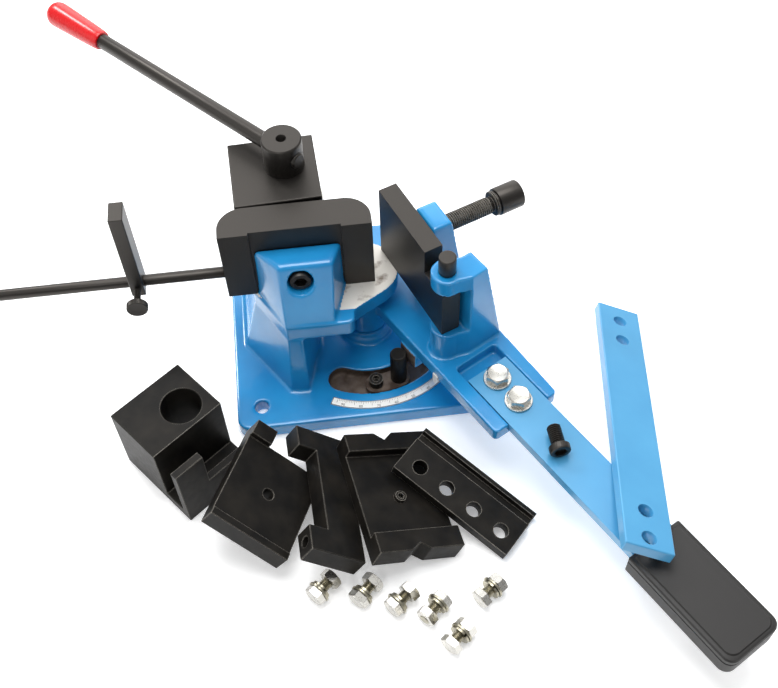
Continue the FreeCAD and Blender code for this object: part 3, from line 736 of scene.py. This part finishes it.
def at_height(outline: Sequence[Point], z: float, inset: float = 0.0) -> Ring:
    """Outline at a height, drawn in towards its middle by inset.

    Args:
        outline: Outline seen from above.
        z: Height.
        inset: How far it is drawn in.

    Returns:
        The ring's points.
    """
    mid_x = sum(p[0] for p in outline) / len(outline)
    mid_y = sum(p[1] for p in outline) / len(outline)
    half_x = max(abs(p[0] - mid_x) for p in outline)
    half_y = max(abs(p[1] - mid_y) for p in outline)
    return [
        (mid_x + (x - mid_x) * (1.0 - inset / half_x), mid_y + (y - mid_y) * (1.0 - inset / half_y), z)
        for x, y in outline
    ]


def smooth_by_angle(mesh: bpy.types.Mesh, degrees: float = 24.0) -> None:
    """Shade a mesh smooth, with sharp edges where it turns by more than the angle.

    Args:
        mesh: Mesh to shade.
        degrees: Turn at which an edge becomes sharp.
    """
    mesh.polygons.foreach_set("use_smooth", [True] * len(mesh.polygons))
    mesh.set_sharp_from_angle(angle=math.radians(degrees))


def publish(name: str, shape: Shape, finish: Finish, body: str, replaces: Sequence[str] = (),
            matrix: Matrix | None = None) -> bpy.types.Object:
    """Turn a drawn shape into a piece that rides on a body.

    Args:
        name: Name of the piece.
        shape: Its mesh, in its own frame.
        finish: Its finish.
        body: CAD body that carries it.
        replaces: CAD nodes that it stands for.
        matrix: Where its own frame lies in the row frame.

    Returns:
        The new object.
    """
    place = matrix or Matrix.Identity(4)
    mesh = bpy.data.meshes.new(name)
    mesh.from_pydata([place @ v for v in shape.verts], [], shape.faces)
    if place.determinant() < 0:
        mesh.flip_normals()
    mesh.validate()
    smooth_by_angle(mesh)
    piece = bpy.data.objects.new(name, mesh)
    bpy.context.scene.collection.objects.link(piece)
    mesh.materials.append(finish.material())
    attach(piece, body)
    if replaces:
        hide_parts(*replaces)
    return piece


def axis_frame(start: Vector, direction: Vector, turn: float = 0.0) -> Matrix:
    """Frame at start whose Z axis points along direction.

    Args:
        start: Origin of the frame.
        direction: Where its Z axis points.
        turn: Turn about that axis.

    Returns:
        The frame.
    """
    aim = direction.normalized().to_track_quat("Z", "Y").to_matrix().to_4x4()
    return Matrix.Translation(start) @ aim @ Matrix.Rotation(turn, 4, "Z")


def dress_node(node: str, finish: Finish, bevel_mm: float = 0.5, segments: int = 2) -> None:
    """Give a CAD node its finish and break its edges.

    Args:
        node: Name of the node.
        finish: Its finish.
        bevel_mm: Width of the broken edge; 0 leaves the edges as they are.
        segments: Steps across the broken edge.
    """
    piece = frame["nodes"][node]
    piece.data.materials.clear()
    piece.data.materials.append(finish.material())
    if bevel_mm <= 0.0:
        return
    weld = piece.modifiers.new("weld", "WELD")
    weld.merge_threshold = 0.002 * MM
    flat = piece.modifiers.new("flat_faces", "DECIMATE")
    flat.decimate_type = "DISSOLVE"
    flat.angle_limit = math.radians(0.5)
    edge = piece.modifiers.new("broken_edge", "BEVEL")
    edge.width = bevel_mm * MM
    edge.segments = segments
    edge.limit_method = "ANGLE"
    edge.angle_limit = math.radians(35.0)
    edge.harden_normals = True
    LOG.info("dressed %s", node)


def cast_skin(name: str, node: str, body: str, voxel_mm: float, passes: int,
              choose: Callable[[Vector, Vector], int], finishes: Sequence[Finish]) -> bpy.types.Object:
    """Re-skin a CAD casting with the soft edges and fillets of a sand casting.

    Args:
        name: Name of the new piece.
        node: CAD node that it stands for.
        body: CAD body that carries it.
        voxel_mm: Size of the skin's squares.
        passes: Smoothing passes, which set how soft the edges are.
        choose: Gives the index of a face's finish from its middle and normal.
        finishes: Finishes that choose picks from.

    Returns:
        The new object.
    """
    source = frame["nodes"][node].data.copy()
    piece = bpy.data.objects.new(name, source)
    bpy.context.scene.collection.objects.link(piece)
    skin = piece.modifiers.new("skin", "REMESH")
    skin.mode = "VOXEL"
    skin.voxel_size = voxel_mm * MM
    soft = piece.modifiers.new("soft_edges", "SMOOTH")
    soft.factor = 0.5
    soft.iterations = passes
    graph = bpy.context.evaluated_depsgraph_get()
    mesh = bpy.data.meshes.new_from_object(piece.evaluated_get(graph))
    piece.modifiers.clear()
    piece.data = mesh
    bpy.data.meshes.remove(source)
    mesh.name = name
    mesh.materials.clear()
    for finish in finishes:
        mesh.materials.append(finish.material())
    for face in mesh.polygons:
        face.material_index = choose(face.center, face.normal)
        face.use_smooth = True
    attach(piece, body)
    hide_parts(node)
    LOG.info("skinned %s with %d faces", name, len(mesh.polygons))
    return piece


# ---------------------------------------------------------------- sub-assemblies
@dataclass
class BaseCasting:
    """Base plate, column and bed in one casting, with the pivot pin and the angle scale."""

    voxel_mm: float = 1.3
    soft_passes: int = 4
    bed_z: float = 98.0 * MM
    plate_z: float = 16.0 * MM
    scale_start: float = math.radians(-116.0)
    scale_end: float = math.radians(-22.0)
    first_mark_deg: int = 3
    border_steps: int = 60
    numeral_mm: float = 3.6
    painted_front_y: float = -53.0 * MM
    painted_right_x: float = 1.5 * MM
    slot_low_z: float = 5.0 * MM

    def finish_at(self, middle: Vector, normal: Vector) -> int:
        """Finish of one face: 0 enamel, 1 milled bed, 2 stained slot.

        Args:
            middle: Middle of the face.
            normal: Its normal.

        Returns:
            Index of the finish.
        """
        flat = normal.z > 0.85
        reach = (middle.xy - PIVOT.xy).length
        painted_facet = middle.y < self.painted_front_y and middle.x < self.painted_right_x
        on_bed = self.bed_z - 0.8 * MM < middle.z < self.bed_z + 0.5 * MM
        if flat and on_bed and not painted_facet:
            return 1
        in_slot = SLOT_R0 - 1.0 * MM < reach < SLOT_R1 + 1.0 * MM
        if in_slot and self.slot_low_z < middle.z < self.plate_z - 1.2 * MM:
            return 2
        return 0

    def marks(self) -> Shape:
        """Graduations every degree, longer at five and ten, and the strip's border.

        Returns:
            The printed marks.
        """
        ink = Shape()
        z0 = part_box("angle_scale")[1].z
        degrees = int(round(math.degrees(self.scale_end - self.scale_start)))
        for degree in range(self.first_mark_deg, degrees - 2):
            angle = self.scale_start + math.radians(degree)
            count = degree - self.first_mark_deg
            length = 4.0 if count % 10 == 0 else (3.0 if count % 5 == 0 else 1.8)
            ink.add(self.tick(angle, SCALE_R0 + 0.8 * MM, SCALE_R0 + (0.8 + length) * MM, 0.3 * MM, z0))
        for radius in (SCALE_R0 + 0.35 * MM, SCALE_R1 - 0.35 * MM):
            for step in range(self.border_steps):
                span = self.scale_end - self.scale_start
                angle = self.scale_start + span * (step + 0.5) / self.border_steps
                width = span / self.border_steps * radius * 1.05
                ink.add(self.tick(angle, radius - 0.25 * MM, radius + 0.25 * MM, width, z0))
        for angle in (self.scale_start, self.scale_end):
            inside = math.radians(0.25) if angle == self.scale_start else -math.radians(0.25)
            ink.add(self.tick(angle + inside, SCALE_R0, SCALE_R1, 0.6 * MM, z0))
        return ink

    @staticmethod
    def tick(angle: float, r0: float, r1: float, width: float, z0: float) -> Shape:
        """One raised ink line that runs outwards from the pivot.

        Args:
            angle: Direction from the pivot.
            r0: Inner end.
            r1: Outer end.
            width: Width of the line.
            z0: Top of the strip.

        Returns:
            The line.
        """
        half, top = width / 2.0, z0 + 0.06 * MM
        corners = [(r0, -half), (r1, -half), (r1, half), (r0, half)]
        bar = Shape().stack([[(x, y, z) for x, y in corners] for z in (z0 - 0.02 * MM, top)])
        turned = Matrix.Translation(PIVOT) @ Matrix.Rotation(angle, 4, "Z")
        return Shape().add(bar, turned)

    def numerals(self) -> None:
        """Plain numbers of degrees along the strip."""
        z0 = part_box("angle_scale")[1].z
        for index in range(0, 9):
            angle = self.scale_start + math.radians(3.0 + 10.0 * index + 2.6)  # just past its long mark
            text = bpy.data.curves.new(f"scale_numeral_{index}", "FONT")
            text.body = str(abs(90 - 10 * index))
            text.size = self.numeral_mm * MM
            text.extrude = 0.03 * MM
            text.resolution_u = 3
            piece = bpy.data.objects.new(f"scale_numeral_{index}", text)
            bpy.context.scene.collection.objects.link(piece)
            turned = Matrix.Rotation(angle + math.pi / 2.0, 4, "Z")
            radius = SCALE_R1 - 1.1 * MM
            spot = PIVOT + Vector((radius * math.cos(angle), radius * math.sin(angle), z0 + 0.03 * MM))
            piece.matrix_world = Matrix.Translation(spot) @ turned
            text.materials.append(INK.material())
            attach(piece, "base")

    def build(self) -> None:
        """Build the casting's skin and dress the rest."""
        cast_skin("base_casting_skin", "base_casting", "base", self.voxel_mm, self.soft_passes,
                  self.finish_at, (BLUE, NOSE, SLOT_IRON))
        dress_node("pivot_pin", NOSE, 0.4)
        dress_node("angle_scale", WHITE, 0.0)
        publish("scale_marks", self.marks(), INK, "base")
        self.numerals()
        LOG.info("base casting done")


@dataclass
class Former:
    """Former block held to the upright by a socket screw."""

    edge_mm: float = 0.9

    def build(self) -> None:
        """Dress the block and its screw."""
        dress_node("former_block", BLACK, self.edge_mm, 3)
        dress_node("former_screw", BLACK, 0.3)
        LOG.info("former done")


@dataclass
class CamClamp:
    """Clamp block, cam shaft with its cross lever and the dipped grip."""

    cam_spot: tuple[float, float, float] = (-45.0, 51.5, 0.0)
    lever_azimuth: float = math.radians(133.5)
    grip_start: float = 229.0 * MM
    grip_length: float = 70.0 * MM
    grip_rings: int = 14
    dome_steps: int = 8

    def grip(self) -> Shape:
        """Dipped grip drawn along +Z from its mouth: a slim neck that swells to a domed end.

        Returns:
            The grip.
        """
        length = self.grip_length
        radii = []
        for step in range(self.grip_rings + 1):
            along = step / self.grip_rings
            radii.append((9.4 * MM + 2.6 * MM * along ** 0.8, length * (0.06 + 0.8 * along)))
        mouth = [(7.2 * MM, 0.0), (8.4 * MM, 0.3 * MM), (9.1 * MM, 1.8 * MM)]
        end_r, end_z = radii[-1]
        dome = []
        for step in range(1, self.dome_steps + 1):
            angle = math.radians(11.0 * step)
            height = end_z + (length - end_z) * math.sin(angle)
            dome.append((end_r - 7.0 * MM * (1.0 - math.cos(angle)), height))
        return lathe(mouth + radii + dome, 56)

    def build(self) -> None:
        """Dress the clamp and lay the grip over the lever's end."""
        dress_node("clamp_block", BLACK, 0.6, 3)
        dress_node("cam_shaft", BLACK, 0.6, 3)
        dress_node("lever_rod", BLACK, 0.4)
        low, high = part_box("lever_grip")
        rod_low, rod_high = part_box("lever_rod")
        direction = Vector((math.cos(self.lever_azimuth), math.sin(self.lever_azimuth), 0.0))
        start = Vector(self.cam_spot) * MM + direction * self.grip_start
        start.z = (rod_low.z + rod_high.z) / 2.0
        publish("lever_grip_dipped", self.grip(), RED, "cam_lever", ["lever_grip"],
                axis_frame(start, direction))
        LOG.info("cam clamp done, grip spans %.0f mm", (high - low).length / MM)


@dataclass
class LengthStop:
    """Rod through the former, the stop bar on it and its thumb screw."""

    knurls: int = 40

    def thumb_head(self) -> Shape:
        """Round head with a coarse knurl on its rim, along +Z.

        Returns:
            The head.
        """
        profile = (
            (0.0, 8.6, 0.0), (0.6, 9.25, 0.35), (5.4, 9.25, 0.35), (6.0, 8.6, 0.0), (5.8, 6.0, 0.0),
        )
        return Shape().stack(knurled_rings(profile, self.knurls))

    def build(self) -> None:
        """Dress the rod and the bar, and draw the thumb screw."""
        dress_node("stop_rod", BLACK, 0.3)
        dress_node("stop_bar", BLACK, 0.5)
        low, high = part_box("stop_thumb_screw")
        middle = Vector(((low.x + high.x) / 2.0, low.y + 6.0 * MM, (low.z + high.z) / 2.0))
        screw = Shape().add(thread(6.0 * MM, 1.0 * MM, -(high.y - middle.y), 0.0, 20))
        screw.add(self.thumb_head())
        publish("thumb_screw", screw, BLACK, "stop_thumb_screw", ["stop_thumb_screw"],
                axis_frame(middle, Vector((0.0, -1.0, 0.0))))
        LOG.info("length stop done")


@dataclass
class AngleStop:
    """Shoe in the arc slot with the stop pin and its clamp screw."""

    def build(self) -> None:
        """Dress the three pieces."""
        dress_node("stop_shoe", SLOT_IRON, 0.4)
        dress_node("stop_pin", BLACK_TOOL, 0.4)
        dress_node("stop_clamp_screw", BLACK_TOOL, 0.3)
        LOG.info("angle stop done")


@dataclass
class BendingArm:
    """Arm casting with its hinge pin, handle bar, bolts and grip."""

    voxel_mm: float = 1.1
    soft_passes: int = 4
    bolt_u: tuple[float, float] = (148.0 * MM, 176.0 * MM)
    handle_v: float = 34.2 * MM
    bolt_turns: tuple[float, float] = (math.radians(18.0), math.radians(43.0))

    def finish_at(self, middle: Vector, normal: Vector) -> int:
        """Finish of one face: 1 on the machined stop face, 0 elsewhere.

        Args:
            middle: Middle of the face.
            normal: Its normal.

        Returns:
            Index of the finish.
        """
        local = ARM_FRAME.inverted() @ middle
        on_stop = local.y < -2.4 * MM and 57.0 * MM < local.x < 81.0 * MM and local.z < 53.0 * MM
        return 1 if on_stop else 0

    def handle_bolt(self) -> Shape:
        """M12 hexagon bolt drawn along +Z from the underside of its head.

        Returns:
            The bolt.
        """
        bolt = hexagon_head(18.0 * MM, 7.5 * MM)
        return bolt.add(thread(12.0 * MM, 1.75 * MM, -20.0 * MM, 0.5 * MM))

    def grip(self) -> Shape:
        """Moulded slab in the arm's frame: a waist groove round the side and a raised top panel.

        Returns:
            The grip.
        """
        low, high = 46.0 * MM, 71.0 * MM
        half = 27.0 * MM
        outline = rounded_outline(338.0 * MM, 446.0 * MM, self.handle_v - half, self.handle_v + half,
                                  (1.5 * MM, 9.0 * MM, 9.0 * MM, 1.5 * MM))
        rings = [
            at_height(outline, low, 2.5 * MM), at_height(outline, low + 0.8 * MM, 0.8 * MM),
            at_height(outline, low + 2.5 * MM), at_height(outline, high - 9.0 * MM),
            at_height(outline, high - 8.6 * MM, 0.9 * MM), at_height(outline, high - 7.6 * MM, 0.9 * MM),
            at_height(outline, high - 7.2 * MM), at_height(outline, high - 3.0 * MM),
            at_height(outline, high - 1.4 * MM, 0.9 * MM), at_height(outline, high - 0.9 * MM, 2.6 * MM),
            at_height(outline, high - 0.9 * MM, 3.4 * MM), at_height(outline, high, 4.4 * MM),
        ]
        return Shape().stack(rings)

    def build(self) -> None:
        """Build the arm's skin, bolts and grip, and dress the rest."""
        cast_skin("arm_casting_skin", "arm_casting", "bending_arm", self.voxel_mm, self.soft_passes,
                  self.finish_at, (BLUE, SLOT_IRON))
        dress_node("hinge_pin", BLACK, 0.5)
        dress_node("angle_pointer", NOSE, 0.15)
        dress_node("handle_bar", BLUE_BAR, 0.6)
        dress_node("handle_washers", ZINC, 0.3)
        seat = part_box("handle_washers")[1].z
        for index, (u, turn) in enumerate(zip(self.bolt_u, self.bolt_turns)):
            place = ARM_FRAME @ Matrix.Translation((u, self.handle_v, seat)) @ Matrix.Rotation(turn, 4, "Z")
            publish(f"handle_bolt_{index + 1}", self.handle_bolt(), ZINC, "bending_arm",
                    ["handle_bolts"], place)
        publish("handle_grip_moulded", self.grip(), RUBBER, "bending_arm", ["handle_grip"], ARM_FRAME)
        LOG.info("bending arm done")


@dataclass
class Press:
    """Pressing plate on the hinge pin and the spindle that sets it."""

    pitch: float = 2.0 * MM
    collar: float = 3.0 * MM
    neck: float = 3.0 * MM

    def build(self) -> None:
        """Dress the plate and cut the spindle's thread."""
        dress_node("pressing_plate", BLACK, 0.9, 3)
        dress_node("spindle_head", BLACK, 0.5)
        feed = next(j for j in frame["joints"] if j["name"] == "spindle_feed")
        turn = next(j for j in frame["joints"] if j["name"] == "spindle_turn")
        inward = Vector(feed["axis"]).normalized()
        on_axis = Vector(turn["pos_m"])
        along = [Vector(v.co) for v in frame["nodes"]["spindle"].data.vertices]
        reach = [(v - on_axis).dot(inward) for v in along]
        tip, tail = max(reach), min(reach)
        start = on_axis + inward * tail
        length = tip - tail
        collar, neck = self.collar, self.neck
        screw = lathe([(10.6 * MM, 0.0), (11.4 * MM, 0.5 * MM), (11.4 * MM, collar - 0.5 * MM),
                       (10.6 * MM, collar), (6.8 * MM, collar), (6.8 * MM, collar + neck)])
        screw.add(thread(16.0 * MM, self.pitch, collar + neck, length - 5.0 * MM, 40))
        nose = [(6.4 * MM, length - 6.0 * MM)]
        for step in range(7):
            angle = math.radians(15.0 * step)
            nose.append((6.4 * MM * math.cos(angle), length - 5.0 * MM + 5.0 * MM * math.sin(angle)))
        screw.add(lathe([(max(r, 0.05 * MM), z) for r, z in nose]))
        publish("spindle_threaded", screw, BLACK_TOOL, "spindle", ["spindle"], axis_frame(start, inward))
        LOG.info("press done")


# A spare bolt lies with its axis this high, on the rims of its washers
SPARE_AXIS_MM = 10.05


class WasherSeat(Enum):
    """Where a spare bolt's washers have slid to."""

    HEAD = "head"
    NUT = "nut"


@dataclass
class SpareBolt:
    """One loose M10 bolt with its washers and nut, lying on the ground."""

    x_mm: float
    y_mm: float
    azimuth_deg: float
    seat: WasherSeat

    def frame(self) -> Matrix:
        """Frame on the outer face of the head, with Z along the bolt.

        Returns:
            The frame.
        """
        azimuth = math.radians(self.azimuth_deg)
        start = Vector((self.x_mm, self.y_mm, SPARE_AXIS_MM)) * MM
        along = Vector((math.cos(azimuth), math.sin(azimuth), 0.0))
        return axis_frame(start, along, azimuth * 3.0)


@dataclass
class LooseTools:
    """Dies, extension bar and spare fasteners that lie round the machine."""

    head_mm: float = 6.4
    length_mm: float = 26.4
    nut_mm: float = 8.0
    cap_screw_spot: tuple[float, float, float] = (233.5, 27.9, 75.15)
    cap_screw_turn: float = 153.0
    cap_screw_knurls: int = 36
    bolts: tuple[SpareBolt, ...] = (
        SpareBolt(-59.0, -276.0, 42.0, WasherSeat.HEAD),
        SpareBolt(-24.0, -284.0, 46.0, WasherSeat.HEAD),
        SpareBolt(3.0, -294.0, 38.0, WasherSeat.HEAD),
        SpareBolt(48.0, -288.0, -137.0, WasherSeat.HEAD),
        SpareBolt(45.0, -331.0, 42.0, WasherSeat.NUT),
        SpareBolt(75.0, -295.0, 36.0, WasherSeat.NUT),
    )

    def head(self) -> Shape:
        """Hexagon head along +Z, with its chamfered outer face at z 0.

        Returns:
            The head.
        """
        turned = Matrix.Translation((0, 0, self.head_mm * MM)) @ Matrix.Rotation(math.pi, 4, "X")
        return Shape().add(hexagon_head(16.0 * MM, self.head_mm * MM), turned)

    def shank(self) -> Shape:
        """Threaded shank that starts inside the head.

        Returns:
            The shank.
        """
        return thread(10.0 * MM, 1.5 * MM, (self.head_mm - 0.5) * MM, self.length_mm * MM, 28)

    def washer_z(self, seat: WasherSeat) -> float:
        """Near face of the flat washer, in millimetres from the head's outer face.

        Args:
            seat: Where the washers sit.

        Returns:
            The height.
        """
        at_head = self.head_mm + 0.2
        at_nut = self.length_mm - self.nut_mm - 2.0 - 0.8
        return at_head if seat is WasherSeat.HEAD else at_nut

    def spare_fasteners(self) -> None:
        """Lay out the six bolts, each with its washers and nut."""
        heads, shanks, washers, springs, nuts = Shape(), Shape(), Shape(), Shape(), Shape()
        for spare in self.bolts:
            place = spare.frame()
            flat_z = self.washer_z(spare.seat)
            spring_z = flat_z + 2.1 if spare.seat is WasherSeat.HEAD else flat_z - 2.5
            nut_z = self.length_mm - self.nut_mm - 0.5
            heads.add(self.head(), place)
            shanks.add(self.shank(), place)
            washers.add(washer(10.0 * MM, 5.2 * MM, 2.0 * MM, 0.3 * MM),
                        place @ Matrix.Translation((0, 0, flat_z * MM)))
            springs.add(spring_washer(8.75 * MM, 5.2 * MM, 2.0 * MM),
                        place @ Matrix.Translation((0, 0, (spring_z + 0.2) * MM)))
            nuts.add(hexagon_head(16.0 * MM, self.nut_mm * MM, True),
                     place @ Matrix.Translation((0, 0, nut_z * MM)))
        body = "spare_fasteners"
        publish("spare_bolt_heads", heads, ZINC, body, ["spare_bolts"])
        publish("spare_bolt_threads", shanks, ZINC_DULL, body, ["spare_bolts"])
        publish("spare_flat_washers", washers, ZINC_DULL, body, ["spare_washers"])
        publish("spare_split_washers", springs, ZINC_DULL, body, ["spare_spring_washers"])
        publish("spare_hex_nuts", nuts, ZINC, body, ["spare_nuts"])

    def cap_screw(self) -> None:
        """Loose low-head cap screw on the handle bar, with a thread and a knurled head."""
        spot = ARM_FRAME @ (Vector(self.cap_screw_spot) * MM)
        turn = math.radians(self.cap_screw_turn)
        away = ARM_FRAME.to_3x3() @ Vector((math.cos(turn), math.sin(turn), 0.0))
        profile = (
            (0.0, 8.7, 0.0), (0.4, 9.0, 0.1), (4.6, 9.0, 0.1), (5.6, 8.5, 0.0), (6.0, 7.6, 0.0),
        )
        knurls, count = self.cap_screw_knurls, self.cap_screw_knurls * 4
        rings = knurled_rings(profile, knurls)
        rings.append(circle(6.1 * MM, 6.0 * MM, count))
        socket = []
        for i in range(count):
            angle = 2.0 * math.pi * i / count
            reach = hexagon_radius(10.0 * MM, angle)
            socket.append((reach * math.cos(angle), reach * math.sin(angle), 5.9 * MM))
        rings.append(socket)
        rings.append([(x * 0.99, y * 0.99, 2.8 * MM) for x, y, _ in socket])
        screw = Shape().stack(rings)
        screw.add(thread(12.0 * MM, 1.75 * MM, -19.0 * MM, 0.3 * MM))
        publish("loose_cap_screw", screw, BLACK, "spare_cap_screw", ["spare_cap_screw"],
                axis_frame(spot, -away))

    def build(self) -> None:
        """Dress the dies and draw the loose fasteners."""
        for node in ("hook_die", "lip_die", "channel_die", "v_die"):
            dress_node(node, BLACK_TOOL, 0.8, 3)
        dress_node("v_die_screw", BLACK_TOOL, 0.3)
        dress_node("hole_bar", BLACK_TOOL, 0.5)
        dress_node("extension_bar", BLUE_BAR, 0.5)
        self.spare_fasteners()
        self.cap_screw()
        LOG.info("loose tools done")


# ---------------------------------------------------------------- studio
@dataclass
class Studio:
    """Pale floor, soft lights and the camera."""

    floor: str = "#FFFFFF"
    eye: tuple[float, float, float] = (-0.0199, -0.6432, 0.8793)
    yaw: float = math.radians(4.9)
    pitch: float = math.radians(54.8)
    roll: float = math.radians(-2.2)
    lens_mm: float = 52.1

    def camera(self) -> None:
        """Camera above and in front of the base, looking down and slightly to the right."""
        ahead = Vector((math.sin(self.yaw) * math.cos(self.pitch), math.cos(self.yaw) * math.cos(self.pitch),
                        -math.sin(self.pitch)))
        right = Vector((math.cos(self.yaw), -math.sin(self.yaw), 0.0))
        up = right.cross(ahead)
        side = right * math.cos(self.roll) + up * math.sin(self.roll)
        top = up * math.cos(self.roll) - right * math.sin(self.roll)
        data = bpy.data.cameras.new("camera")
        data.lens = self.lens_mm
        data.sensor_width = 36.0
        data.clip_end = 50.0
        camera = bpy.data.objects.new("camera", data)
        bpy.context.scene.collection.objects.link(camera)
        turn = Matrix((side, top, -ahead)).transposed().to_4x4()
        camera.matrix_world = Matrix.Translation(self.eye) @ turn
        bpy.context.scene.camera = camera

    def light(self, name: str, spot: tuple[float, float, float], size: float, watts: float) -> None:
        """Square soft light aimed at the middle of the machine.

        Args:
            name: Name of the light.
            spot: Where it hangs.
            size: Side of the square.
            watts: Power.
        """
        data = bpy.data.lights.new(name, "AREA")
        data.shape = "SQUARE"
        data.size = size
        data.energy = watts
        lamp = bpy.data.objects.new(name, data)
        bpy.context.scene.collection.objects.link(lamp)
        target = Vector((0.03, -0.05, 0.06))
        lamp.matrix_world = axis_frame(Vector(spot), Vector(spot) - target)

    def build(self) -> None:
        """Lay the floor, set the lights and place the camera."""
        mesh = bpy.data.meshes.new("floor")
        reach = 6.0
        corners = [(-reach, -reach, 0), (reach, -reach, 0), (reach, reach, 0), (-reach, reach, 0)]
        mesh.from_pydata(corners, [], [(0, 1, 2, 3)])
        floor = bpy.data.objects.new("floor", mesh)
        bpy.context.scene.collection.objects.link(floor)
        paper = bpy.data.materials.new("floor_paper")
        paper.use_nodes = True
        shader = paper.node_tree.nodes["Principled BSDF"]
        shader.inputs["Base Color"].default_value = linear(self.floor)
        shader.inputs["Roughness"].default_value = 0.9
        shader.inputs["Specular IOR Level"].default_value = 0.0
        shader.inputs["Emission Color"].default_value = (1.0, 1.0, 1.0, 1.0)
        shader.inputs["Emission Strength"].default_value = 0.3
        mesh.materials.append(paper)
        self.light("back_softbox", (0.1, 1.5, 0.95), 1.3, 12.0)
        self.light("top_softbox", (0.0, 0.15, 1.7), 1.0, 20.0)
        self.light("left_softbox", (-1.3, -0.3, 0.75), 1.0, 3.0)
        self.light("left_strip", (-0.75, 0.85, 1.1), 0.22, 7.0)
        self.light("front_strip", (-0.5, -0.9, 1.3), 0.2, 2.0)
        self.light("right_softbox", (1.4, 0.3, 1.3), 0.8, 3.0)
        world = bpy.data.worlds.new("studio")
        world.use_nodes = True
        tree = world.node_tree
        direction = add_node(tree, "ShaderNodeTexCoord").outputs["Generated"]
        behind = add_node(tree, "ShaderNodeVectorMath", {"operation": "DOT_PRODUCT"}, {1: (0.0, 0.8, 0.6)},
                          {0: direction})
        rise = add_node(tree, "ShaderNodeMapRange",
                        values={"From Min": -0.2, "From Max": 0.9, "To Min": 0.3, "To Max": 0.7},
                        links={"Value": behind.outputs["Value"]})
        tree.links.new(rise.outputs["Result"], tree.nodes["Background"].inputs["Strength"])
        tree.nodes["Background"].inputs["Color"].default_value = (1.0, 1.0, 1.0, 1.0)
        bpy.context.scene.world = world
        bpy.context.scene.view_settings.view_transform = "Standard"
        self.camera()
        LOG.info("studio done")


def main() -> None:
    """Build every sub-assembly in order, then the studio."""
    logging.basicConfig(level=logging.INFO, format="%(name)s: %(message)s")
    for assembly in (BaseCasting(), Former(), CamClamp(), LengthStop(), AngleStop(), BendingArm(), Press(),
                     LooseTools(), Studio()):
        assembly.build()


if __name__ == "__main__":
    main()
